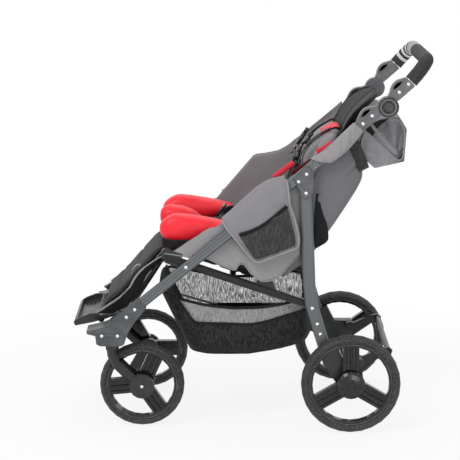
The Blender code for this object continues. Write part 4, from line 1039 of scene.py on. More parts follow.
@dataclass
class Studio:
    """The floor, the lights and the camera of the photograph."""

    camera_at: Triple = (-0.056, -5.54, 1.572)
    camera_tilt: float = 79.4
    lens: float = 148.3
    sensor: float = 36.0
    clip: float = 60.0
    floor_size: float = 14.0
    floor_share: float = 0.86
    world_level: float = 0.53
    lamps: tuple[tuple[str, Triple, float, float], ...] = (
        ("key", (-2.4, -3.2, 4.2), 2.6, 114.0),
        ("fill", (1.4, -4.6, 0.9), 2.0, 44.0),
        ("top", (0.4, 1.8, 4.4), 3.0, 44.0),
    )
    clear_floor: Flat = (0.75, 1.6)

    def build(self) -> None:
        """Makes the floor, the world, the lamps and the camera."""
        self.make_floor()
        self.make_world()
        for lamp in self.lamps:
            self.make_lamp(*lamp)
        camera = bpy.data.objects.new("camera", bpy.data.cameras.new("camera"))
        bpy.context.scene.collection.objects.link(camera)
        camera.location = self.camera_at
        camera.rotation_euler = (math.radians(self.camera_tilt), 0.0, 0.0)
        camera.data.lens = self.lens
        camera.data.sensor_width = self.sensor
        camera.data.clip_end = self.clip
        bpy.context.scene.camera = camera
        bpy.context.scene.view_settings.view_transform = "Standard"

    def seen(self, tree: bpy.types.NodeTree) -> Socket:
        """One where the camera sees it, straight or in gloss or glass.

        Args:
            tree: The node tree.

        Returns:
            The socket.
        """
        path = add_node(tree, "LightPath")
        first = {0: path.outputs["Is Camera Ray"], 1: path.outputs["Is Glossy Ray"]}
        both = add_node(tree, "Math", first, operation="MAXIMUM")
        second = {0: both.outputs[0], 1: path.outputs["Is Transmission Ray"]}
        return add_node(tree, "Math", second, operation="MAXIMUM").outputs[0]

    def make_floor(self) -> None:
        """A pale floor that shows white and keeps the stroller's soft shadow, and that clears away from it."""
        s = self.floor_size / 2
        points = [Vector((-s, -s, 0)), Vector((s, -s, 0)), Vector((s, s, 0)), Vector((-s, s, 0))]
        floor = mesh_piece("floor", points, [(0, 1, 2, 3)], Finishes.BAND, False)
        made = bpy.data.materials.new("pale_floor")
        made.use_nodes = True
        tree = made.node_tree
        tree.nodes.clear()
        place = add_node(tree, "TexCoord").outputs["Object"]
        away = add_node(tree, "VectorMath", {0: place}, operation="LENGTH")
        near, far = self.clear_floor
        inputs = {"Value": away.outputs["Value"], "From Min": near, "From Max": far, "To Min": self.floor_share}
        share = add_node(tree, "MapRange", inputs, interpolation_type="SMOOTHSTEP")
        shown = {0: share.outputs["Result"], 1: self.seen(tree)}
        mix = add_node(tree, "Math", shown, operation="MULTIPLY")
        matt = add_node(tree, "BsdfDiffuse", {"Color": linear("#f4f4f4")})
        glow = add_node(tree, "Emission", {"Color": (1, 1, 1, 1), "Strength": 1.0})
        level = add_node(tree, "MixShader", {0: mix.outputs[0], 1: matt.outputs[0], 2: glow.outputs[0]})
        out = add_node(tree, "OutputMaterial")
        tree.links.new(level.outputs[0], out.inputs["Surface"])
        floor.data.materials.clear()
        floor.data.materials.append(made)

    def make_world(self) -> None:
        """An even pale surround that the camera sees as white."""
        world = bpy.data.worlds.new("surround")
        world.use_nodes = True
        tree = world.node_tree
        tree.nodes.clear()
        inputs = {"Value": self.seen(tree), "To Min": self.world_level, "To Max": 1.0}
        level = add_node(tree, "MapRange", inputs)
        back = add_node(tree, "Background", {"Color": (1, 1, 1, 1), "Strength": level.outputs[0]})
        out = add_node(tree, "OutputWorld")
        tree.links.new(back.outputs[0], out.inputs["Surface"])
        bpy.context.scene.world = world

    def make_lamp(self, name: str, at: Triple, size: float, watts: float) -> None:
        """A soft square lamp that faces the stroller.

        Args:
            name: The lamp's name.
            at: Where it stands.
            size: Its width.
            watts: Its power.
        """
        lamp = bpy.data.lights.new(name, "AREA")
        lamp.size = size
        lamp.energy = watts
        holder = bpy.data.objects.new(name, lamp)
        bpy.context.scene.collection.objects.link(holder)
        holder.location = at
        aim = Vector((0, 0, 0.5)) - Vector(at)
        holder.rotation_euler = aim.to_track_quat("-Z", "Y").to_euler()


# ---- the frame, its rivets and its wheels


@dataclass
class FrameWork:
    """Tubes, legs, plates, brackets, their rivets and what shows on the hinge arms."""

    rivet_radius: float = 0.0054
    rivet_height: float = 0.0030
    head_height: float = 0.0024
    tube_face: float = 0.261
    bracket_face: float = 0.2655
    band_face: float = 0.2687
    arm_face: float = 0.2637
    disc: Flat = (0.4438, 0.9337)
    arm_angle: float = math.radians(41.5)
    arm_rise: float = 0.012
    arm_rivets: Flat = (0.050, 0.084)
    tube_rivets: Line = ((-0.1254, 0.4755),)
    plate_rivets: Line = ((0.1932, 0.7231), (0.2157, 0.7445), (0.2146, 0.6902))
    bracket_rivets: Line = ((-0.272, 0.353), (-0.296, 0.331))
    band_rivets: Line = ((-0.367, 0.2765), (-0.322, 0.2765))
    leg_rivets: Line = ((0.235, 0.356), (0.250, 0.310), (0.259, 0.280))
    slot_run: Flat = (0.034, 0.084)
    slot_low: float = 0.0125
    slot_swell: float = 0.0105
    slot_y: float = 0.2515
    slot_depth: float = 0.002
    disc_rings: Line = ((0.0165, 0.0026), (0.0262, 0.0018))

    def build(self) -> None:
        """Dresses the frame's nodes, adds the bright rivet heads, and the slot inserts and disc rings in black painted
        shade.
        """
        for hand in Hand:
            word = hand.word
            dress(Finishes.FRAME, f"side_tube_{word}", f"rear_leg_{word}")
            dress(Finishes.STEEL, f"seat_base_tube_{word}", f"footrest_rod_{word}")
            dress(Finishes.HINGE, f"front_bracket_{word}")
            dress(Finishes.NYLON, f"knee_joint_{word}", f"axle_bracket_{word}")
            dress(Finishes.NYLON, f"caster_fork_{word}", f"handle_button_{word}")
            dress(Finishes.HINGE, f"pivot_plate_{word}", f"lower_hinge_arm_{word}", f"upper_hinge_arm_{word}")
            self.make_rivets(hand)
            self.make_liners(hand)
            self.make_disc_rings(hand)
        dress(Finishes.STEEL, "seat_cross_tube", "rear_axle", "brake_bar", "handle_bar", "backrest_frame")
        dress(Finishes.STEEL, "legrest_frame", "front_cross_tube")
        # The bow takes the grey cloth in its darker tone: painted shade.
        dress(Finishes.TUB, "canopy_bow")
        dress(Finishes.NYLON, "footplate")

    def head(self, x: float, z: float, face: float, hand: Hand) -> Piece:
        """One domed rivet head.

        Args:
            x: Its place in the side view.
            z: Its height.
            face: How far out the surface under it is.
            hand: The side.

        Returns:
            The head.
        """
        r, h = self.rivet_radius, self.rivet_height
        dome = ((0, 1), (0.35, 0.97), (0.65, 0.80), (0.88, 0.48), (1, 0.12))
        profile = [*((r * out, h * up) for out, up in dome), (r, -0.0002)]
        return turned("head", profile, side(x, z, hand.sign * face), hand.out, Finishes.ZINC, 16)

    def arm_place(self, run: float) -> Flat:
        """The place of a rivet on a hinge arm.

        Args:
            run: How far it is from the disc's middle, below zero on the lower arm.

        Returns:
            Its place in the side view.
        """
        ahead = (math.cos(self.arm_angle), math.sin(self.arm_angle))
        x = self.disc[0] + ahead[0] * run - ahead[1] * self.arm_rise
        return x, self.disc[1] + ahead[1] * run + ahead[0] * self.arm_rise

    def make_liners(self, hand: Hand) -> None:
        """Black inserts in the leaf-shaped slots of one side's hinge arms: painted shade for the dark inside the slots.

        Args:
            hand: The side.
        """
        up = Vector((-math.sin(self.arm_angle), 0, math.cos(self.arm_angle)))
        start, end = self.slot_run
        steps = 20
        for turn, word, body in ((1, "upper", "handle"), (-1, "lower", "front_frame")):
            low, high = [], []
            for k in range(steps + 1):
                share = k / steps
                run = start + (end - start) * share
                place = side(*self.arm_place(turn * run), hand.sign * self.slot_y)
                low.append(place + up * self.slot_low)
                high.append(place + up * (self.slot_low + self.slot_swell * math.sin(math.pi * share)))
            outline = [*low, *reversed(high)]
            inner = [p - hand.out * self.slot_depth for p in outline]
            # Black as painted shade: the dark seen in the slots is shade.
            carried(lofted(f"{word}_arm_slot_{hand.word}", [outline, inner], Finishes.BUCKLE), body, "black_plastic")

    def make_disc_rings(self, hand: Hand) -> None:
        """The two raised rings round the button, on the hinge arm that lies further out; their black is painted shade.

        Args:
            hand: The side.
        """
        upper, lower = (reach_of(f"{word}_hinge_arm_{hand.word}") for word in ("upper", "lower"))
        centre = side(*self.disc, hand.sign * max(upper, lower))
        rings = []
        for radius, tall in self.disc_rings:
            bead = ((-0.0020, -0.0003), (-0.0014, tall * 0.8), (0, tall), (0.0014, tall * 0.8), (0.0020, -0.0003))
            profile = [(radius + beside, height) for beside, height in bead]
            # The rings are black, darker than the grey disc they stand on: painted shade along the ridges.
            rings.append(turned("ring", profile, centre, hand.out, Finishes.BUCKLE, 48))
        body = "handle" if upper >= lower else "front_frame"
        carried(joined(f"disc_rings_{hand.word}", rings), body, "hinge_plastic")

    def make_rivets(self, hand: Hand) -> None:
        """The rivet heads of one side, one piece for each body.

        Args:
            hand: The side.
        """
        plate = reach_of(f"pivot_plate_{hand.word}") - self.head_height
        lower, upper = ([self.arm_place(turn * run) for run in self.arm_rivets] for turn in (-1, 1))
        frame_rows = [(self.tube_rivets, self.tube_face), (self.plate_rivets, plate)]
        frame_rows += [(self.bracket_rivets, self.bracket_face), (self.band_rivets, self.band_face)]
        frame_rows += [(lower, self.arm_face)]
        for name, body, rows in (
            ("frame_rivets", "front_frame", frame_rows),
            ("leg_rivets", "rear_frame", [(self.leg_rivets, self.tube_face)]),
            ("handle_rivets", "handle", [(upper, self.arm_face)]),
        ):
            heads = [self.head(x, z, face, hand) for line, face in rows for x, z in line]
            carried(joined(f"{name}_{hand.word}", heads), body, "black_steel")


@dataclass
class Wheel:
    """One wheel: its tyre's tread and pale rings at its rim's edges, which paint the rim's highlight."""

    name: str
    hub: Flat
    y: float
    rim: Flat

    def build(self) -> None:
        """Dresses the wheel and adds pale rings, a painted highlight, at the rim's radius and half width."""
        middle = side(*self.hub, self.y)
        radius, half_wide = self.rim
        tread = TyreTread(f"eva_foam_tyre_{self.name}", "#2e2e30", 0.66, 0.4, "#4a4a4c", tuple(middle))
        dress(tread, f"{self.name}_tyre")
        dress(Finishes.RIM, f"{self.name}_rim")
        highlight_rings = []
        for sign in (-1, 1):
            circle = [middle + Vector((a, sign * half_wide, b)) for a, b in ring(radius, 72)]
            # The rings are paler than the black rim: a painted highlight along the rim's edges.
            highlight_rings.append(piping("lip", circle, 0.0016, Finishes.HINGE, True))
        carried(joined(f"{self.name}_rim_lips", highlight_rings), self.name, "gloss_plastic")


@dataclass
class Wheels:
    """The four wheels."""

    rear_hub: Flat = (0.3455, 0.1425)
    front_hub: Flat = (-0.2544, 0.1225)
    rear_y: float = 0.290
    front_y: float = 0.214
    rear_rim: Flat = (0.1175, 0.0163)
    front_rim: Flat = (0.1008, 0.0143)
    axle_half: float = 0.0385

    def build(self) -> None:
        """Builds each wheel, the hub caps and the front axles' ends."""
        for hand in Hand:
            Wheel(f"rear_wheel_{hand.word}", self.rear_hub, hand.sign * self.rear_y, self.rear_rim).build()
            Wheel(f"front_wheel_{hand.word}", self.front_hub, hand.sign * self.front_y, self.front_rim).build()
            dress(Finishes.RIM, f"rear_wheel_{hand.word}_hub_cap")
            profile = [(0, 0.0022), (0.0035, 0.0020), (0.0050, 0.0008), (0.0050, -0.0003)]
            ends = []
            for sign in (-1, 1):
                face = side(*self.front_hub, hand.sign * self.front_y + sign * self.axle_half)
                ends.append(turned("end", profile, face, Vector((0, sign, 0)), Finishes.ZINC, 14))
            carried(joined(f"axle_ends_{hand.word}", ends), f"caster_{hand.word}", "black_steel")


# ---- the handle


@dataclass
class Handle:
    """The foam grip with its pale bands and its bright end rings."""

    bar_top: Flat = (0.555, 1.0615)
    tube_y: float = 0.250
    bend: float = 0.060
    grip_radius: float = 0.0198
    band_radius: float = 0.0203
    start: float = 0.0945
    bands: tuple[tuple[int, float, float, float], ...] = ((3, 0.026, 0.0250, 0.0130), (6, 0.112, 0.0190, 0.0080))
    steps: int = 240
    bend_steps: int = 10

    def line(self) -> list[Vector]:
        """The bar's middle line from the near hinge over the top to the far one, with rounded corners.

        Returns:
            The line's points.
        """
        knuckle, top = side(*FrameWork().arm_place(self.start)), side(*self.bar_top)
        near, far = (Vector((0, sign * self.tube_y, 0)) for sign in (-1, 1))
        corners = [knuckle + near, top + near, top + far, knuckle + far]
        path = [corners[0]]
        for before, corner, after in zip(corners, corners[1:], corners[2:]):
            come, go = (corner - before).normalized(), (after - corner).normalized()
            half = come.angle(go) / 2
            reach = self.bend * math.tan(half)
            start = corner - come * reach
            centre = corner + (go - come).normalized() * (self.bend / math.cos(half))
            normal = come.cross(go).normalized()
            for k in range(self.bend_steps + 1):
                path.append(centre + Matrix.Rotation(2 * half * k / self.bend_steps, 3, normal) @ (start - centre))
        path.append(corners[-1])
        return path

    def build(self) -> None:
        """Makes the grip, its bands (each row by its count, first place, pitch and width) and its end rings."""
        path = spaced(self.line(), self.steps)
        grip = section_sweep("foam_grip", path, ring(self.grip_radius, 24), Finishes.GRIP)
        carried(grip, "handle", "grip_foam", "handle_grip")
        step, last = run_length(path) / self.steps, len(path) - 1
        bands = []
        for count, first, pitch, wide in self.bands:
            for start in (first + pitch * k for k in range(count)):
                run = path[last - int((start + wide) / step) : last - int(start / step) + 1]
                bands.append(section_sweep("band", run, ring(self.band_radius, 24), Finishes.BAND))
        carried(joined("grip_bands", bands), "handle", "grip_foam")
        rings, r = [], self.grip_radius
        profile = [(r - 0.004, 0.0), (r + 0.0006, 0.0), (r + 0.0008, 0.0008), (r + 0.0006, 0.0016), (r - 0.004, 0.0016)]
        for end, inner in ((path[0], path[1]), (path[-1], path[-2])):
            way = (inner - end).normalized()
            rings.append(turned("ring", profile, end - way * 0.0008, way, Finishes.ZINC, 32))
        carried(joined("grip_end_rings", rings), "handle", "black_steel")


# ---- the seat's cloth sides


@dataclass
class SeatSides:
    """The seat's grey cloth sides: an inner wall, an outer flap with a net pocket, and a tube sleeve."""

    wall_y: float = 0.2355
    flap_y: float = 0.2685
    wall_low: Line = (
        (-0.187, 0.5115), (-0.160, 0.5075), (-0.134, 0.503), (-0.113, 0.499), (-0.107, 0.508), (-0.097, 0.514),
        (-0.086, 0.512), (-0.078, 0.505), (-0.071, 0.498), (-0.054, 0.491), (-0.034, 0.481), (-0.015, 0.472),
        (0.008, 0.464), (0.017, 0.463), (0.022, 0.474), (0.030, 0.481), (0.041, 0.479), (0.049, 0.468),
        (0.056, 0.457), (0.074, 0.441), (0.090, 0.430), (0.107, 0.430), (0.123, 0.434), (0.144, 0.447),
        (0.169, 0.477), (0.200, 0.505),
    )
    wall_high: Line = (
        (-0.187, 0.5135), (-0.160, 0.518), (-0.134, 0.536), (-0.120, 0.546), (-0.094, 0.562), (-0.074, 0.577),
        (-0.053, 0.587), (-0.040, 0.592), (-0.016, 0.621), (0.021, 0.664), (0.050, 0.698), (0.072, 0.724),
        (0.082, 0.729), (0.110, 0.732), (0.148, 0.740), (0.176, 0.754), (0.200, 0.7745),
    )
    wing_high: Line = (
        (0.150, 0.741), (0.176, 0.754), (0.214, 0.785), (0.252, 0.816), (0.301, 0.856), (0.342, 0.892),
    )
    near_drop: float = 0.021
    tuck: Line = ((0.012, 0.0035), (0.017, 0.001))
    sleeve_y: float = 0.2515
    far_squeeze: float = 0.78
    linings: tuple[tuple[str, Finish, str, float, float, float, Line], ...] = (
        ("red_lining_edge", Finishes.RED_LINER, "red_vinyl", -0.150, 0.016, 0.006,
         ((0.1270, 0.7178), (0.1466, 0.7330), (0.1644, 0.7464), (0.1830, 0.7605))),
        ("maroon_lining_edge", Finishes.MAROON, "black_cloth", -0.206, 0.012, 0.005,
         ((0.1770, 0.7399), (0.1981, 0.7539), (0.2158, 0.7646), (0.2351, 0.7775))),
        ("red_wing_lining", Finishes.RED_LINER, "red_vinyl", -0.170, 0.020, 0.006,
         ((0.2490, 0.7919), (0.2667, 0.8001), (0.2809, 0.8095), (0.2943, 0.8195))),
    )

    def lowered(self, line: Line, hand: Hand) -> Line | list[Flat]:
        """The near side's top edge, where the flap draws it down behind itself.

        Args:
            line: The edge.
            hand: The side.

        Returns:
            The edge on that side.
        """
        if hand is Hand.FAR:
            return line
        return [(x, z - self.near_drop * float(np.interp(x, (-0.050, 0.0), (0.0, 1.0)))) for x, z in line]

    def build(self) -> None:
        """Makes both sides, and the linings that show over the near one."""
        for hand in Hand:
            self.make_wall(hand)
            self.make_wing(hand)
            self.make_flap(hand)
            self.make_pocket(hand)
            self.make_sleeve(hand)
            if hand is Hand.NEAR:
                self.make_linings()

    def make_wall(self, hand: Hand) -> None:
        """The inner wall, cut out in two arches over the seat-base tube.

        Args:
            hand: The side.
        """
        y = hand.sign * self.wall_y
        low, high = drawn(self.wall_low, y), drawn(self.lowered(self.wall_high, hand), y)
        rear = eased([side(0.200, 0.505, y), side(0.204, 0.600, y), side(0.204, 0.700, y), high[-1]])
        rows = spanned(low, high, [low[0], high[0]], rear, 96, 30)
        # The wall takes the grey cloth in its lighter tone: painted light.
        panel = ClothPanel(f"seat_side_{hand.word}", rows, Finishes.WALL)
        folds = [
            Fold((-0.05, 0.56), (0.06, 0.46), -0.0025, 0.010),
            Fold((0.10, 0.50), (0.14, 0.44), 0.0030, 0.012),
            Fold((0.13, 0.52), (0.19, 0.50), -0.0025, 0.010),
            Fold((0.06, 0.48), (0.09, 0.44), 0.0025, 0.010),
        ]
        panel.fold(folds, hand.out)
        panel.crumple(0.0022, (0.05, 0.05, 0.05), 3.1, hand.out)
        tubes = [f"side_tube_{hand.word}", f"seat_base_tube_{hand.word}"]
        panel.lay(Held.STRETCHED, tubes, "front_frame", "grey_cloth", f"side_panel_{hand.word}")
        edge = [p + hand.out * 0.0012 for p in low]
        carried(piping(f"side_hem_{hand.word}", edge, 0.0019, Finishes.TRIM), "front_frame", "grey_cloth")
        if hand is Hand.FAR:
            top = [p + hand.out * 0.0006 for p in high]
            carried(piping(f"side_top_seam_{hand.word}", top, 0.0014, Finishes.GREY), "front_frame", "grey_cloth")

    def make_wing(self, hand: Hand) -> None:
        """The upper part of the side, from the arm of the seat up to the handle hinge.

        Args:
            hand: The side.
        """
        y = hand.sign * self.wall_y
        top = drawn(self.lowered(self.wing_high, hand), y)
        bottom = drawn([(0.150, 0.700), (0.200, 0.715), (0.250, 0.757), (0.300, 0.802), (0.350, 0.848)], y)
        rows = spanned(bottom, eased(top, 1), [bottom[0], top[0]], [bottom[-1], top[-1]], 40, 14)
        out = hand.out
        # The wing takes the grey cloth in its lighter tone: painted light.
        panel = ClothPanel(f"seat_wing_{hand.word}", rows, Finishes.WALL)
        folds = [Fold((0.20, 0.76), (0.32, 0.86), 0.0035, 0.010), Fold((0.18, 0.74), (0.27, 0.80), -0.003, 0.009)]
        panel.fold(folds, out)
        panel.crumple(0.003, (0.04, 0.04, 0.04), 8.2, out)
        panel.lay(Held.STRETCHED, [f"side_tube_{hand.word}"], "front_frame", "grey_cloth")
        edge = [p + out * 0.0006 for p in eased(top, 1)]
        carried(piping(f"wing_seam_{hand.word}", edge, 0.0014, Finishes.GREY), "front_frame", "grey_cloth")

    def flap_edges(self, hand: Hand) -> tuple[list[Vector], list[Vector], list[Vector], list[Vector]]:
        """The flap's bottom, top, front and rear edges.

        Args:
            hand: The side.

        Returns:
            The four edges.
        """
        y = hand.sign * self.flap_y
        bottom = ((-0.004, 0.583), (0.030, 0.541), (0.060, 0.504), (0.070, 0.4945), (0.081, 0.492), (0.110, 0.503),
                  (0.150, 0.519), (0.180, 0.530), (0.1915, 0.535))
        top = ((-0.023, 0.612), (0.006, 0.637), (0.022, 0.653), (0.040, 0.669), (0.071, 0.697), (0.085, 0.708),
               (0.109, 0.722), (0.132, 0.728), (0.144, 0.731), (0.154, 0.734))
        rear = ((0.1915, 0.535), (0.197, 0.556), (0.190, 0.590), (0.177, 0.637), (0.168, 0.655), (0.166, 0.683),
                (0.163, 0.717), (0.154, 0.734))
        bottom, top, rear = (drawn(line, y) for line in (bottom, top, rear))
        return eased(bottom, 1), eased(top, 1), [bottom[0], top[0]], eased(rear, 1)

    def make_flap(self, hand: Hand) -> None:
        """The outer flap: it bends over the side tube and hangs outside it.

        Args:
            hand: The side.
        """
        bottom, top, front, rear = self.flap_edges(hand)
        rows = spanned(bottom, top, front, rear, 60, 36)
        out = hand.out
        last = len(rows) - 1
        for j, row in enumerate(rows):
            v = j / last
            for i, point in enumerate(row):
                u = i / (len(row) - 1)
                belly = 0.006 * math.sin(math.pi * u) * math.sin(math.pi * min(1.0, v * 1.1))
                row[i] = point + out * (belly - 0.016 * max(0.0, (v - 0.80) / 0.20) ** 2)
        edge = rows[-1]
        rows += [[p - out * inward + UP * rise for p in edge] for inward, rise in self.tuck]
        panel = ClothPanel(f"seat_flap_{hand.word}", rows, Finishes.GREY, 0.0022)
        folds = [
            Fold((0.02, 0.62), (0.12, 0.70), 0.0030, 0.016),
            Fold((0.04, 0.58), (0.15, 0.66), -0.0022, 0.012),
            Fold((0.145, 0.72), (0.15, 0.67), 0.0030, 0.009),
            Fold((0.07, 0.66), (0.14, 0.69), -0.0020, 0.010),
        ]
        panel.fold(folds, out)
        panel.crumple(0.0018, (0.045, 0.045, 0.045), 5.7, out)
        panel.lay(Held.HUNG, [f"side_tube_{hand.word}"], "front_frame", "grey_cloth")
        loop = [*reversed(front), *bottom[1:], *rear[1:-1]]
        loop = [p + out * 0.0022 for p in loop]
        cord = piping(f"flap_piping_{hand.word}", curved(loop, 90, 1), 0.0034, Finishes.TRIM)
        carried(cord, "front_frame", "grey_cloth")

    def make_pocket(self, hand: Hand) -> None:
        """The net pocket on the flap, with its black binding.

        Args:
            hand: The side.
        """
        y = hand.sign * (self.flap_y + 0.0035)
        out = hand.out
        bottom = drawn([(0.066, 0.508), (0.078, 0.501), (0.110, 0.512), (0.150, 0.528), (0.184, 0.541)], y)
        top = drawn([(0.026, 0.572), (0.060, 0.582), (0.095, 0.600), (0.130, 0.628), (0.161, 0.655)], y)
        front = drawn([(0.066, 0.508), (0.045, 0.540), (0.026, 0.572)], y)
        rear = drawn([(0.184, 0.541), (0.186, 0.560), (0.176, 0.600), (0.161, 0.655)], y)
        across, up = 44, 24
        rows = spanned(eased(bottom, 1), eased(top, 1), front, eased(rear, 1), across, up)
        for j, row in enumerate(rows):
            for i, point in enumerate(row):
                u, v = i / across, j / up
                row[i] = point + out * (0.0035 + 0.0060 * math.sin(math.pi * u) * math.sin(math.pi * v) + 0.002 * v)
        panel = ClothPanel(f"net_pocket_{hand.word}", rows, Finishes.NET_DARK, 0.0010)
        panel.crumple(0.0035, (0.018, 0.02, 0.035), 1.9, out)
        panel.lay(Held.HUNG, [f"seat_flap_{hand.word}"], "front_frame", "net_cloth")
        edge = [p + out * 0.0058 for p in curved(top, 30, 1)]
        tape = strap(f"pocket_binding_{hand.word}", edge, UP, 0.011, 0.0020, Finishes.DARK_TRIM)
        carried(tape, "front_frame", "black_cloth")

    def make_sleeve(self, hand: Hand) -> None:
        """The cloth wrapped round the upper side tube, drawn tight in slanting folds.

        Args:
            hand: The side.
        """
        y = hand.sign * self.sleeve_y
        upper = [(0.228, 0.787), (0.252, 0.800), (0.290, 0.832), (0.317, 0.860), (0.348, 0.8885)]
        lower = [(0.268, 0.7765), (0.284, 0.775), (0.301, 0.786), (0.332, 0.811), (0.353, 0.836), (0.377, 0.867)]
        steps, around = 72, 40
        tops, lows = curved(drawn(upper, y), steps), curved(drawn(lower, y), steps)
        rows = []
        for i, (top, low) in enumerate(zip(tops, lows)):
            share = i / steps
            centre, half = (top + low) / 2, (top - low) / 2
            if hand is Hand.FAR:
                half *= self.far_squeeze
            row = []
            for k in range(around + 1):
                angle = 2 * math.pi * k / around
                c, s = math.cos(angle), math.sin(angle)
                out = math.copysign(abs(c) ** 0.8, c) * (0.0185 - 0.0015 * share)
                up = math.copysign(abs(s) ** 0.85, s)
                slant = share * 7.0 - s * 1.3
                crease = 0.26 * noise.noise(Vector((slant, c * 0.8, hand.sign * 3.0)))
                crease += 0.16 * noise.noise(Vector((slant * 2.3, c * 1.2, hand.sign * 9.0)))
                row.append(centre + half * up + Vector((0, out * (1 + 2.2 * crease * (1 - abs(s) ** 6)), 0)))
            rows.append(row)
        # The sleeve takes the grey cloth in its lighter tone: painted light.
        panel = ClothPanel(f"tube_wrap_{hand.word}", rows, Finishes.WALL, 0.0016)
        panel.lay(Held.GATHERED, [f"side_tube_{hand.word}"], "front_frame", "grey_cloth", f"tube_sleeve_{hand.word}")

    def make_linings(self) -> None:
        """The edges of the red and maroon linings that show over the near side's top edge."""
        for name, finish, slot, y, wide, thick, line in self.linings:
            path = curved(drawn(line, y), 30)
            carried(strap(name, path, Vector((-0.5, 0, 0.8)), wide, thick, finish), "front_frame", slot)


# ---- the seat


@dataclass(frozen=True)
class Bolster:
    """A stuffed pad's side view: its upper and its lower line from its tip to its cut end, and its half width."""

    top: Line
    bottom: Line
    half: float
    blunt: float = 0.030

    def make(self, name: str, y: float, rise: float, finish: Finish) -> Piece:
        """Makes the pad's form.

        Args:
            name: The piece's name.
            y: Its middle, across.
            rise: How much higher it lies.
            finish: Its cover.

        Returns:
            The closed form.
        """
        steps, around = 40, 32
        shift = Vector((0, 0, rise))
        tops = [p + shift for p in curved(drawn(self.top, y), steps)]
        lows = [p + shift for p in curved(drawn(self.bottom, y), steps)]
        tip, rings = tops[0], []
        for top, low in zip(tops[1:], lows[1:]):
            centre, half = (top + low) / 2, (top - low) / 2
            reach = min(1.0, (centre - tip).length / self.blunt)
            wide = self.half * math.sqrt(1 - (1 - reach) ** 2)
            circle = []
            for k in range(around):
                c, s = math.cos(2 * math.pi * k / around), math.sin(2 * math.pi * k / around)
                across = math.copysign(abs(c) ** 0.62, c) * wide
                circle.append(centre + half * math.copysign(abs(s) ** 0.72, s) + Vector((0, across, 0)))
            rings.append(circle)
        return lofted(name, rings, finish)


@dataclass
class Seat:
    """The seat cushion, the red thigh pads, the red knee separator and the belt behind them."""

    thigh_y: float = 0.142
    thigh_shift: float = 0.004
    thigh: Bolster = Bolster(
        ((-0.205, 0.570), (-0.202, 0.588), (-0.186, 0.603), (-0.163, 0.6145), (-0.143, 0.6155), (-0.087, 0.607),
         (-0.040, 0.597), (0.006, 0.5865)),
        ((-0.205, 0.570), (-0.200, 0.551), (-0.182, 0.537), (-0.152, 0.528), (-0.118, 0.527), (-0.075, 0.538),
         (-0.040, 0.549), (0.006, 0.562)),
        0.0365,
    )
    boxing_y: float = 0.184
    belt_across: Triple = (0.55, 0, 0.8)

    def build(self) -> None:
        """Makes the cushion, the pads, the boxing beside them and the belt."""
        cushion = pad_from("seat_cushion", "seat_pad", Finishes.BLACK, Padding(0.006, 4.0, 0.004, 4))
        across = [seat_point(run, 0.03) for run in (0.085, 0.155, 0.220)]
        way = (seat_point(1, 0) - seat_point(0, 0)).normalized()
        channelled(cushion, [(point, way) for point in across], 0.004, 0.006)
        carried(cushion, "front_frame", "black_cloth", "seat_cushion")
        for hand in Hand:
            name = f"thigh_pad_{hand.word}"
            form = self.thigh.make(f"red_{name}", hand.sign * self.thigh_y, hand.sign * self.thigh_shift, Finishes.RED)
            pad = stuffed(form, Finishes.RED, Padding(0.004, 4.0, 0.004, 3))
            refined(pad)
            carried(pad, "front_frame", "red_vinyl", name)
        knee = pad_from("knee_separator", "red_knee_separator", Finishes.RED, Padding(0.004, 5.0, 0.005, 6))
        refined(knee)
        carried(knee, "front_frame", "red_vinyl", "knee_separator")
        for hand in Hand:
            y = hand.sign * self.boxing_y
            low = drawn([(-0.192, 0.506), (-0.160, 0.503), (-0.110, 0.500)], y)
            high = drawn([(-0.196, 0.546), (-0.160, 0.540), (-0.100, 0.542)], y)
            rows = spanned(low, high, [low[0], high[0]], [low[-1], high[-1]], 30, 12)
            boxing = ClothPanel(f"seat_boxing_{hand.word}", rows, Finishes.BLACK)
            boxing.crumple(0.003, (0.03, 0.03, 0.03), 4.1, hand.out)
            boxing.lay(Held.STRETCHED, ["seat_pad"], "front_frame", "black_cloth")
        self.make_belt()

    def make_belt(self) -> None:
        """The hip belt that lies across behind the pads, with its closed buckle."""
        across = Vector(self.belt_across)
        places = ((0.010, 0.570, 0.120), (0.000, 0.580, 0.090), (-0.012, 0.588, 0.050), (-0.026, 0.590, -0.020),
                  (-0.036, 0.582, -0.090), (-0.020, 0.570, -0.180))
        path = curved([side(*place) for place in places], 40)
        carried(strap("hip_belt", path, across, 0.030, 0.006, Finishes.BLACK), "front_frame", "black_cloth")
        path = [side(-0.030, 0.598, -0.050), side(-0.020, 0.602, 0.000)]
        clip = strap("hip_belt_buckle", path, across, 0.034, 0.010, Finishes.BUCKLE)
        carried(clip, "front_frame", "black_plastic")


# ---- the backrest


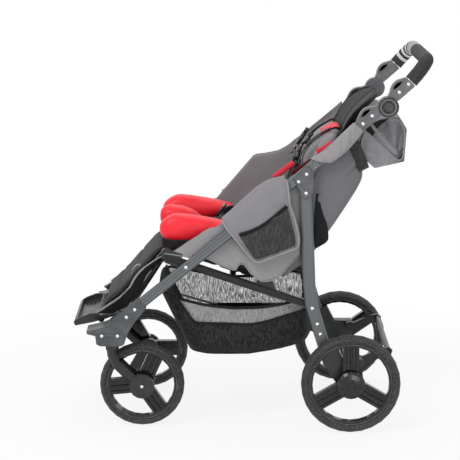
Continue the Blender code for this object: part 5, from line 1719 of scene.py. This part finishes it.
@dataclass
class Backrest:
    """The back cushion, the head panel, the head pillow, the cloth tub behind and the harness."""

    shell_half: float = 0.226
    strap_y: float = 0.232
    tab_y: float = 0.2300
    tub: Line = (
        (0.020, 0.050), (0.050, 0.066), (0.080, 0.082), (0.134, 0.0975), (0.194, 0.105), (0.264, 0.113),
        (0.336, 0.120), (0.373, 0.120), (0.395, 0.110), (0.425, 0.088), (0.450, 0.066), (0.499, 0.0512),
    )
    head: tuple[Triple, ...] = (
        (0.446, 0.168, 0.026), (0.470, 0.172, 0.027), (0.500, 0.174, 0.028), (0.525, 0.173, 0.031),
        (0.548, 0.166, 0.038), (0.568, 0.152, 0.045), (0.584, 0.134, 0.051), (0.596, 0.108, 0.056),
        (0.604, 0.062, 0.059),
    )
    head_half: float = 0.174
    head_curl: float = 0.020
    head_thick: float = 0.0075
    seam_y: float = 0.012
    pillow_middle: Flat = (0.385, -0.018)
    pillow: Line = (
        (0.312, -0.026), (0.322, -0.042), (0.350, -0.049), (0.380, -0.045), (0.410, -0.034), (0.438, -0.020),
        (0.456, -0.005), (0.458, 0.008), (0.446, 0.016), (0.400, 0.012), (0.340, -0.004), (0.316, -0.014),
    )
    pillow_sizes: Line = ((-0.104, 0.60), (-0.100, 0.86), (-0.090, 0.97), (-0.045, 1.02), (0.0, 1.03), (0.045, 1.02),
                          (0.090, 0.97), (0.100, 0.86), (0.104, 0.60))
    pillow_end: float = 0.098

    def build(self) -> None:
        """Makes the backrest's pieces."""
        self.make_cushion()
        self.make_shell()
        self.make_head()
        self.make_pillow()
        self.make_harness()
        self.make_straps()

    def make_cushion(self) -> None:
        """The back cushion, with four sewn channels across."""
        cushion = pad_from("back_cushion", "back_pad", Finishes.GREY, Padding(0.006, 4.0, 0.005, 4))
        way = (back_point(1, 0) - back_point(0, 0)).normalized()
        channelled(cushion, [(back_point(up, 0), way) for up in (0.110, 0.200, 0.290, 0.380)], 0.005, 0.006)
        carried(cushion, "backrest", "grey_cloth", "back_cushion")

    def make_shell(self) -> None:
        """The tub behind the backrest: high at the sides, round at the rear, drawn in by the strap at its top."""
        ups, depths = (np.array(values) for values in zip(*self.tub))
        pleats = [
            Fold((0.330, 0.728), (0.374, 0.768), -0.007, 0.006),
            Fold((0.338, 0.752), (0.366, 0.790), 0.005, 0.007),
            Fold((0.350, 0.712), (0.372, 0.745), -0.005, 0.005),
            Fold((0.270, 0.780), (0.330, 0.800), -0.006, 0.009),
            Fold((0.240, 0.640), (0.300, 0.740), 0.004, 0.030),
        ]
        rows = []
        steps = 80
        for j in range(steps + 1):
            up = ups[0] + (ups[-1] - ups[0]) * j / steps
            depth = float(np.interp(up, ups, depths))
            front = float(np.interp(up, (0.03, 0.07, 0.40, 0.499), (0.014, -0.010, -0.010, 0.034)))
            row = []
            for k in range(steps + 1):
                share = 2 * k / steps - 1
                turn = abs(share)
                y = self.shell_half * math.copysign(min(1.0, turn * 1.62) ** 0.95, share) if turn else 0.0
                reach = max(0.0, 1 - max(0.0, turn - 0.58) / 0.42)
                behind = front + (depth - front) * (reach**0.9 if turn > 0.58 else 1.0) * (1 - 0.03 * turn**3)
                row.append(back_point(up, behind, y))
            rows.append(row)
        rows = smoothed_rows(rows, 8)
        for row in rows:
            for i, point in enumerate(row):
                aside = max(0.0, abs(point.y) / self.shell_half - 0.6) / 0.4
                out = Vector((0, math.copysign(aside, point.y), 0))
                row[i] = point + out * sum(fold.lift(point) for fold in pleats)
        # The tub takes the grey cloth in its darker tone: painted shade.
        panel = ClothPanel("back_tub", rows, Finishes.TUB, 0.0022)
        panel.crumple(0.006, (0.30, 0.09, 0.22), 4.4, back_point(0, 1) - back_point(0, 0))
        panel.lay(Held.STRETCHED, ["backrest_frame"], "backrest", "grey_cloth", "back_shell")

    def make_head(self) -> None:
        """The dark head panel: a thin pad, curved round the head, its top corners cut round, seamed down its middle."""
        rings, steps = [], 24
        for up, half, behind in self.head:
            front, back = [], []
            for k in range(steps + 1):
                share = 2 * k / steps - 1
                y = half * share
                curl = -self.head_curl * abs(y / self.head_half) ** 2.2
                curl += 0.0035 * math.exp(-((y - self.seam_y) / 0.006) ** 2)
                thick = self.head_thick * (1 - abs(share) ** 4)
                front.append(back_point(up, behind + curl - thick, y))
                back.append(back_point(up, behind + curl + thick + 0.001, y))
            rings.append([*front, *reversed(back)])
        form = lofted("head_rest_panel", rings, Finishes.HEAD)
        panel = stuffed(form, Finishes.HEAD, Padding(0.004, 3.0, 0.003, 2))
        carried(panel, "backrest", "black_cloth", "head_panel")
        line = [back_point(up, behind - 0.0085, self.seam_y) for up, _, behind in self.head]
        carried(piping("head_middle_seam", curved(line, 30), 0.0014, Finishes.BLACK), "backrest", "grey_cloth")
        edge = [back_point(up, behind - self.head_curl * (half / self.head_half) ** 2.2, half)
                for up, half, behind in self.head]
        mirrored = [Vector((p.x, -p.y, p.z)) for p in reversed(edge)]
        cord = piping("head_edge_piping", curved([*edge, *mirrored], 80), 0.0024, Finishes.DARK_TRIM)
        carried(cord, "backrest", "black_cloth")

    def pillow_ring(self, y: float, scale: float) -> list[Vector]:
        """One section of the head pillow.

        Args:
            y: Across.
            scale: Its size there.

        Returns:
            The section's points.
        """
        up_at, behind_at = self.pillow_middle
        return [back_point(up_at + (up - up_at) * scale, behind_at + (behind - behind_at) * scale, y)
                for up, behind in self.pillow]

    def make_pillow(self) -> None:
        """The head pillow, its red band over the top, and the maroon and black bindings at its far end."""
        form = lofted("head_pillow", [self.pillow_ring(y, scale) for y, scale in self.pillow_sizes], Finishes.GREY)
        pillow = stuffed(form, Finishes.GREY, Padding(0.005, 3.0, 0.004, 3))
        carried(pillow, "backrest", "grey_cloth")
        band = [(0.422, -0.0315), (0.436, -0.0245), (0.450, -0.0160), (0.460, -0.0060), (0.4635, 0.006)]
        rows = [[back_point(up, behind - 0.001, -0.086 + 0.100 * k / 24) for k in range(25)] for up, behind in band]
        panel = ClothPanel("red_pillow_band", rows, Finishes.RED_LINER, 0.0022)
        panel.lay(Held.STRETCHED, ["head_pillow"], "backrest", "red_vinyl")
        line = ((0.316, -0.043), (0.350, -0.0505), (0.385, -0.045), (0.415, -0.034), (0.442, -0.020), (0.461, -0.004))
        path = curved([back_point(up, behind, self.pillow_end) for up, behind in line], 30)
        carried(piping("pillow_binding_right", path, 0.0028, Finishes.MAROON), "backrest", "black_cloth")
        path = [p + ACROSS * 0.0065 for p in path]
        carried(piping("pillow_edge_right", path, 0.0030, Finishes.DARK_TRIM), "backrest", "black_cloth")

    def make_harness(self) -> None:
        """The shoulder straps with their pads, buckles and slides."""
        for hand in Hand:
            path = [back_point(up, behind, hand.sign * y) for up, behind, y in
                    ((0.205, -0.034, 0.050), (0.250, -0.036, 0.052), (0.300, -0.046, 0.056), (0.345, -0.0575, 0.062),
                     (0.385, -0.0525, 0.070), (0.420, -0.0390, 0.078), (0.450, -0.0190, 0.084))]
            belt = strap(f"shoulder_strap_{hand.word}", curved(path, 40), ACROSS, 0.024, 0.0028, Finishes.STRAP)
            carried(belt, "backrest", "black_cloth", f"harness_strap_{hand.word}")
            path = [back_point(up, behind, hand.sign * y) for up, behind, y in
                    ((0.225, -0.041, 0.052), (0.270, -0.047, 0.054), (0.312, -0.056, 0.058))]
            pad = strap(f"shoulder_pad_{hand.word}", curved(path, 16), ACROSS, 0.042, 0.012, Finishes.BLACK)
            carried(pad, "backrest", "black_cloth")
            self.make_buckle(hand)

    def make_buckle(self, hand: Hand) -> None:
        """A side-release buckle and a slide on one shoulder strap.

        Args:
            hand: The side.
        """
        near = hand is Hand.NEAR
        places = ((0.372, -0.062), (0.394, -0.057)) if near else ((0.346, -0.066), (0.386, -0.062))
        y = hand.sign * (0.046 if near else 0.086)
        low, high = (back_point(up, behind, y) for up, behind in places)
        way = (high - low).normalized()
        runs = [([low, low.lerp(high, 0.5), high], 0.034, 0.011)]
        for sign in (-1, 1):
            runs.append(([high + ACROSS * sign * 0.009, high + ACROSS * sign * 0.011 + way * 0.016], 0.006, 0.008))
        for run in (0.010, 0.026):
            runs.append(([low - way * run, low - way * (run + 0.005)], 0.036, 0.007))
        parts = [strap("body", path, ACROSS, wide, thick, Finishes.BUCKLE) for path, wide, thick in runs]
        carried(joined(f"harness_buckle_{hand.word}", parts), "backrest", "black_plastic")

    def make_straps(self) -> None:
        """The black straps that hold the canopy against the tub, and the black tabs under them."""
        for hand in Hand:
            y = hand.sign * self.strap_y
            path = [side(0.346, 0.834, y), side(0.361, 0.802, y), side(0.373, 0.770, y), side(0.378, 0.757, y * 0.985),
                    side(0.380, 0.750, y * 0.94), side(0.379, 0.747, y * 0.84)]
            belt = strap(f"canopy_strap_{hand.word}", curved(path, 30), Vector((0.9, 0, 0.45)), 0.033, 0.0030,
                         Finishes.STRAP)
            carried(belt, "backrest", "black_cloth")
            y = hand.sign * self.tab_y
            front = drawn([(0.242, 0.526), (0.240, 0.560), (0.240, 0.620), (0.244, 0.683)], y)
            rear = [(0.250, 0.527), (0.279, 0.545), (0.2815, 0.560), (0.278, 0.593), (0.266, 0.622), (0.257, 0.652)]
            rear = drawn([*rear, (0.254, 0.684)], y)
            rows = spanned([front[0], rear[0]], [front[-1], rear[-1]], front, eased(rear, 1), 14, 40)
            tab = ClothPanel(f"side_tab_{hand.word}", rows, Finishes.DARK_TRIM, 0.0026)
            tab.crumple(0.003, (0.02, 0.02, 0.05), 6.1, hand.out)
            tab.lay(Held.HUNG, ["back_tub"], "backrest", "black_cloth")


def smoothed_rows(rows: Rows, rounds: int) -> Rows:
    """Evens a surface out and keeps its edges.

    Args:
        rows: The surface's rows of points.
        rounds: How many times it is evened.

    Returns:
        The smoother rows.
    """
    grid = np.array([[tuple(p) for p in row] for row in rows])
    for _ in range(rounds):
        inner = grid[1:-1, 1:-1] * 0.5 + (grid[:-2, 1:-1] + grid[2:, 1:-1] + grid[1:-1, :-2] + grid[1:-1, 2:]) * 0.125
        grid[1:-1, 1:-1] = inner
    return [[Vector(p) for p in row] for row in grid]


# ---- the canopy


@dataclass
class Canopy:
    """The folded canopy behind the handle: one sheet wrapped round into a bundle, its ends folded in to the bow."""

    half: float = 0.2215
    recess: float = 0.020
    around: int = 112
    outline: Line = (
        (0.3965, 0.8800), (0.3765, 0.8580), (0.3685, 0.8155), (0.3900, 0.7740), (0.4105, 0.7562), (0.4938, 0.7745),
        (0.4998, 0.8662), (0.4777, 0.8992), (0.4280, 0.8930),
    )
    corner: float = 0.005
    bow: tuple[Flat, Flat] = ((0.3815, 0.8640), (0.4730, 0.7785))
    valleys: tuple[Triple, ...] = (
        (24.0, 6.0, 0.018), (42.0, 3.5, 0.018), (57.0, 3.0, 0.010), (84.0, 3.5, 0.014), (108.0, 4.0, 0.018),
        (124.0, 5.0, 0.010),
    )
    leg: tuple[Flat, Flat] = ((0.3980, 0.8810), (0.4700, 0.7990))
    over_leg: float = 0.0040
    leg_reach: float = 0.0075
    blend: float = 0.012
    bulge: float = 0.0035
    crease: float = 0.010
    swell: float = 0.015
    wave: float = 0.004
    across: int = 32

    def loop(self) -> list[Vector]:
        """The bundle's outline at y = 0, its corners hardly rounded.

        Returns:
            The outline's points, the first one again at the end.
        """
        corners = drawn(self.outline, 0.0)
        path = []
        for before, place, after in zip([corners[-1], *corners], corners, [*corners[1:], corners[0]]):
            for other in (before, place, after):
                way = other - place
                path.append(place + (way.normalized() * self.corner if way.length else way))
        return curved([*path, path[0]], self.around, 1)

    def above(self, point: Vector) -> float:
        """How far a point lies over the bow's line.

        Args:
            point: The point.

        Returns:
            The distance in the side view, below zero under the line.
        """
        start, end = (side(*place) for place in self.bow)
        line = (end - start).normalized()
        return (point - start).dot(Vector((-line.z, 0, line.x)))

    def end_row(self, loop: list[Vector], t: float, hand: int) -> list[Vector]:
        """One row of the folded-in end, from the bundle's rim to the bow's line.

        Args:
            loop: The outline.
            t: From 0 at the rim to 1 at the line.
            hand: The end's sign along Y.

        Returns:
            The row's points.
        """
        start, end = (side(*place) for place in self.bow)
        line = end - start
        row = []
        for point in loop:
            along = max(0.02, min(0.98, (point - start).dot(line) / line.length_squared))
            target = start + line * along
            over = max(0.0, min(1.0, self.above(point) / self.blend))
            dip = over * over * (3 - 2 * over)
            place = point.lerp(target, t)
            open_pocket = self.recess * min(1.0, t / 0.12) ** 1.5 * (1 - 0.75 * max(0.0, (t - 0.3) / 0.7))
            fan = math.degrees(math.atan2(place.z - end.z + 0.002, place.x - end.x))
            depth = sum(deep * math.exp(-(((fan - at) / wide) ** 2)) for at, wide, deep in self.valleys)
            folds = depth * math.sin(math.pi * min(1.0, t * 1.05)) ** 0.7
            bulge = self.bulge * math.sin(math.pi * t)
            uneven = noise.noise(Vector((place.x * 42, hand * 2.0, place.z * 75)))
            crease = self.crease * uneven * math.sin(math.pi * min(t, 0.9))
            inward = dip * (open_pocket + folds) - (1 - dip) * (bulge + crease)
            top, foot = (side(*spot) for spot in self.leg)
            run = max(0.0, min(1.0, (place - top).dot(foot - top) / (foot - top).length_squared))
            cover = math.exp(-(((place - top.lerp(foot, run)).length / self.leg_reach) ** 4))
            inward += (-self.over_leg - inward) * cover
            row.append(place + Vector((0, hand * (self.half - inward), 0)))
        return row

    def build(self) -> None:
        """Makes the hood, its piping and the black sheets at its ends: the lining, and painted shade under the hinge
        arms.
        """
        loop = self.loop()
        ends = [0.0, 0.03, 0.07, 0.12, 0.17, 0.22, 0.28, 0.35, 0.43, 0.52, 0.61, 0.70, 0.79, 0.88, 0.95, 1.0]
        rows = [self.end_row(loop, t, -1) for t in reversed(ends)]
        middle = sum(loop, Vector()) / len(loop)
        for k in range(1, self.across):
            share = 2 * k / self.across - 1
            swell = 1.0 + self.swell * (1 - share**4)
            row = []
            for point in loop:
                wave = self.wave * noise.noise(Vector((point.x * 25, share * 6, point.z * 25))) * (1 - share**4)
                out = (point - middle).normalized()
                row.append(middle + (point - middle) * swell + out * wave + ACROSS * (share * self.half))
            rows.append(row)
        rows += [self.end_row(loop, t, 1) for t in ends]
        panel = ClothPanel("folded_hood", rows, Finishes.GREY, 0.0018)
        panel.lay(Held.FOLDED, ["canopy_bow"], frame_body("canopy_hood"), "grey_cloth", "canopy_hood")
        for hand in Hand:
            self.trim(hand)

    def trim(self, hand: Hand) -> None:
        """The piping of one end, and its black sheet: the lining, and painted shade under the hinge arm.

        Args:
            hand: The side.
        """
        y = hand.sign * (self.half + 0.0022)
        bow = spaced([side(*place, y) for place in self.bow], 20)
        bow = [p - hand.out * 0.001 for p in bow]
        rim = [(0.473, 0.7785), (0.4895, 0.7785), (0.4925, 0.815), (0.4955, 0.862), (0.476, 0.895), (0.452, 0.893)]
        rim = eased(drawn(rim, y))
        low = eased(drawn([(0.3915, 0.776), (0.411, 0.7595), (0.446, 0.7665), (0.473, 0.7725)], y))
        cords = [piping("cord", line, 0.0019, Finishes.TRIM) for line in (bow, spaced(rim, 40), spaced(low, 30))]
        carried(joined(f"hood_piping_{hand.word}", cords), frame_body("canopy_hood"), "grey_cloth")
        y = hand.sign * (self.half + 0.0012)
        bottom, top = drawn([(0.381, 0.866), (0.403, 0.8455)], y), drawn([(0.424, 0.893), (0.452, 0.8995)], y)
        rows = spanned(bottom, top, eased([bottom[0], side(0.399, 0.882, y), top[0]], 1),
                       eased([bottom[1], side(0.417, 0.872, y), top[1]], 1), 14, 20)
        # A black sheet under the hinge arm: the end's black lining, and painted shade where the arm shades the end.
        lining = ClothPanel(f"hood_lining_{hand.word}", rows, Finishes.DARK_TRIM, 0.0016)
        lining.crumple(0.003, (0.02, 0.02, 0.05), 2.2, hand.out)
        lining.lay(Held.FOLDED, ["folded_hood"], frame_body("canopy_hood"), "black_cloth")


def frame_body(node: str) -> str:
    """The body that carries a node.

    Args:
        node: The node's name.

    Returns:
        The body's name.
    """
    for body, nodes in frame["record"]["behaviour"]["bodies"].items():
        if node in nodes:
            return body
    raise KeyError(node)


# ---- the basket


@dataclass
class Basket:
    """The bag under the seat: a black tub with pale net windows and a black bound rim."""

    half_wide: float = 0.2204
    levels: int = 44
    around: int = 200
    far_low: float = 0.262
    rim_top: float = 0.385
    folded: float = 0.3
    slack: float = 1.2
    wall: float = 0.0012
    rim_front: float = -0.206
    rim_run: float = 0.438
    rim_high: float = 0.392
    rim_sag: float = 0.036
    rim_fall: float = 0.016
    rim_bow: float = 0.012
    squareness: float = 0.36
    floor_high: float = 0.2045
    drops: tuple[float, ...] = (0.0, 0.45, 0.85, 1.0)
    fronts: tuple[float, ...] = (-0.206, -0.166, -0.134, -0.122)
    rears: tuple[float, ...] = (0.230, 0.236, 0.238, 0.230)
    widths: tuple[float, ...] = (1.0, 0.985, 0.93, 0.86)
    net_low: tuple[tuple[float, ...], tuple[float, ...]] = ((-0.102, 0.048, 0.111, 0.209), (0.303, 0.299, 0.310, 0.341))

    def rim_height(self, x: float, across: float) -> float:
        """The rim's height, which sags between the corners.

        Args:
            x: The place in the side view.
            across: From -1 at the near side to 1 at the far one.

        Returns:
            The height in metres.
        """
        share = min(max((x - self.rim_front) / self.rim_run, 0.0), 1.0)
        sag = self.rim_sag * math.sin(math.pi * share) * abs(across)
        return self.rim_high - self.rim_fall * share - sag - self.rim_bow * (1 - abs(across))

    def ring_at(self, drop: float) -> list[Vector]:
        """One level ring of the bag.

        Args:
            drop: From 0 at the rim to 1 at the floor.

        Returns:
            The ring's points.
        """
        rows = (self.fronts, self.rears, self.widths)
        front, rear, width = (float(np.interp(drop, self.drops, row)) for row in rows)
        half = self.half_wide * width
        points = []
        middle, reach = (front + rear) / 2, (rear - front) / 2
        for k in range(self.around):
            angle = 2 * math.pi * k / self.around
            c, s = math.cos(angle), math.sin(angle)
            a = math.copysign(abs(c) ** self.squareness, c)
            b = math.copysign(abs(s) ** self.squareness, s)
            x, across = middle + reach * a, b
            top = self.rim_height(x, across)
            bottom = self.floor_high + 0.036 * max(0.0, (x - 0.05) / 0.18) ** 1.2
            bottom += 0.004 * max(0.0, (-0.06 - x) / 0.05)
            points.append(side(x, top + (bottom - top) * drop, half * across))
        return points

    def in_net(self, point: Vector) -> bool:
        """Whether a point of the bag's side is in its net window.

        Args:
            point: The point.

        Returns:
            True inside the window.
        """
        x, z = point.x + SIDE_MIDDLE, point.z
        if abs(point.y) < self.half_wide * 0.80:
            return False
        low = float(np.interp(x, *self.net_low))
        front = -0.157 + (0.384 - z) * 0.69
        if point.y > 0:
            low = self.far_low
            front = -0.198 + (0.384 - z) * 0.45
        return x > front and z > low and x < 0.224

    def build(self) -> None:
        """Makes the bag, its net windows, its rim and the windows' bindings."""
        rings = [self.ring_at(1 - (1 - k / self.levels) ** 1.15) for k in range(self.levels + 1)]
        floor = rings[-1]
        centre = sum(floor, Vector()) / len(floor)
        for share in (0.92, 0.8, 0.6, 0.4, 0.2, 0.05):
            rings.append([centre + (p - centre) * share - Vector((0, 0, 0.004 * (1 - share))) for p in floor])
        middle = side(0.015, 0.30)
        for j, circle in enumerate(rings):
            drop = min(1.0, j / self.levels)
            for k, point in enumerate(circle):
                out = Vector((point.x - middle.x, point.y * 1.4, 0)).normalized()
                streak = noise.noise(Vector((point.x * 70, point.y * 70, point.z * 9)))
                wide = noise.noise(Vector((point.x * 14 + 5, point.y * 14, point.z * 10)))
                circle[k] = point + out * (0.0016 * streak * drop + 0.006 * wide * math.sin(math.pi * min(drop, 0.9)))
        points = [p for circle in rings for p in circle]
        cloth, net = [], []
        for face in grid_faces(len(rings), self.around, True):
            (net if self.in_net(sum((points[i] for i in face), Vector()) / 4) else cloth).append(face)
        bag = mesh_piece("basket_bag", points, cloth + net, Finishes.NET_BLACK)
        bag.data.materials.append(Finishes.NET_PALE.make())
        for polygon in bag.data.polygons:
            if self.in_net(polygon.center):
                polygon.material_index = 1
        area = thickened(bag, self.wall)
        carried(bag, "front_frame", "net_cloth", "basket")
        wide = run_length(rings[0])
        self.gather(bag)
        rim = piping("basket_rim", rings[0], 0.0044, Finishes.DARK_TRIM, True)
        carried(rim, "front_frame", "black_cloth")
        for hand in Hand:
            line = [(-0.158, 0.385), (-0.130, 0.345), (-0.104, 0.306), (-0.080, 0.303), (0.000, 0.302), (0.048, 0.299),
                    (0.080, 0.303), (0.111, 0.310), (0.160, 0.326), (0.216, 0.343)]
            if hand is Hand.FAR:
                line = [(-0.198, 0.384), (-0.1431, self.far_low), (0.224, self.far_low)]
            path = [side(x, z, hand.sign * self.side_y(z)) for x, z in line]
            path = curved(path, 60, 1)
            tape = strap(f"net_binding_{hand.word}", path, UP, 0.007, 0.0018, Finishes.DARK_TRIM)
            carried(tape, "front_frame", "black_cloth")
            self.gather(tape)

    def gather(self, piece: Piece) -> None:
        """Gives a piece of the bag its own copy of its mesh."""
        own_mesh(piece)

    def side_y(self, z: float) -> float:
        """How far out the bag's side is at a height."""
        return self.half_wide * float(np.interp(z, (0.21, 0.25, 0.30, 0.39), (0.88, 0.94, 0.985, 1.0))) + 0.003


# ---- the leg rest


@dataclass
class LegRest:
    """The calf pad with its side wings, their pale piping and a pull loop."""

    half: float = 0.172
    wing_out: float = 0.003
    hem_in: float = 0.016
    loop_in: float = 0.028
    edge: Line = (
        (-0.190, 0.493), (-0.212, 0.482), (-0.250, 0.456), (-0.265, 0.441), (-0.280, 0.420), (-0.288, 0.401),
        (-0.311, 0.375), (-0.342, 0.354), (-0.368, 0.336), (-0.388, 0.324),
    )
    hem: Line = (
        (-0.196, 0.474), (-0.216, 0.456), (-0.235, 0.438), (-0.250, 0.413), (-0.264, 0.384), (-0.281, 0.356),
        (-0.300, 0.338), (-0.320, 0.325), (-0.345, 0.316), (-0.376, 0.318),
    )

    def build(self) -> None:
        """Makes the pad, its piping and its wings."""
        pad = pad_from("calf_pad", "calf_cushion", Finishes.BLACK, Padding(0.005, 3.0, 0.003, 3))
        way = side(-0.30, 0.40) - side(-0.22, 0.49)
        channelled(pad, [(side(-0.262, 0.447), way), (side(-0.318, 0.386), way)], 0.003, 0.005)
        carried(pad, "legrest", "black_cloth", "calf_pad")
        line = [(-0.1927, 0.5144), (-0.220, 0.490), (-0.262, 0.443), (-0.298, 0.401), (-0.335, 0.366), (-0.366, 0.344)]
        far = curved(drawn(line, self.half * 0.995), 40)
        carried(piping("calf_far_piping", far, 0.0026, Finishes.TRIM), "legrest", "grey_cloth")
        for hand in Hand:
            self.make_wing(hand)

    def make_wing(self, hand: Hand) -> None:
        """One side wing: black cloth from the pad's edge down to the frame, bound in grey.

        Args:
            hand: The side.
        """
        y = hand.sign * (self.half + self.wing_out)
        top, hem = drawn(self.edge, y), drawn(self.hem, hand.sign * (self.half - self.hem_in))
        rows = spanned(eased(hem, 1), eased(top, 1), [hem[0], top[0]], [hem[-1], top[-1]], 50, 16)
        wing = ClothPanel(f"calf_wing_{hand.word}", rows, Finishes.BLACK, 0.0024)
        wing.crumple(0.006, (0.05, 0.05, 0.03), 7.7, hand.out)
        wing.lay(Held.STRETCHED, ["calf_cushion"], "legrest", "black_cloth")
        cords = [piping("cord", curved(line, 50, 1), 0.0029, Finishes.TRIM) for line in (top, hem)]
        carried(joined(f"calf_piping_{hand.word}", cords), "legrest", "grey_cloth")
        if hand is Hand.FAR:
            return
        y = hand.sign * (self.half - self.loop_in)
        loop = [(-0.258, 0.452), (-0.262, 0.462), (-0.274, 0.458), (-0.284, 0.445), (-0.286, 0.431), (-0.278, 0.420)]
        path = curved(drawn([*loop, (-0.270, 0.412)], y), 30)
        tape = strap(f"calf_loop_{hand.word}", path, ACROSS, 0.014, 0.0024, Finishes.TRIM)
        carried(tape, "legrest", "grey_cloth")


def main() -> None:
    """Builds the studio and every piece."""
    logging.basicConfig(level=logging.INFO, format="%(name)s: %(message)s")
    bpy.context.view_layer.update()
    Studio().build()
    for part in (FrameWork(), Wheels(), Handle(), SeatSides(), Seat(), Backrest(), Canopy(), Basket(), LegRest()):
        part.build()


if __name__ == "__main__":
    main()
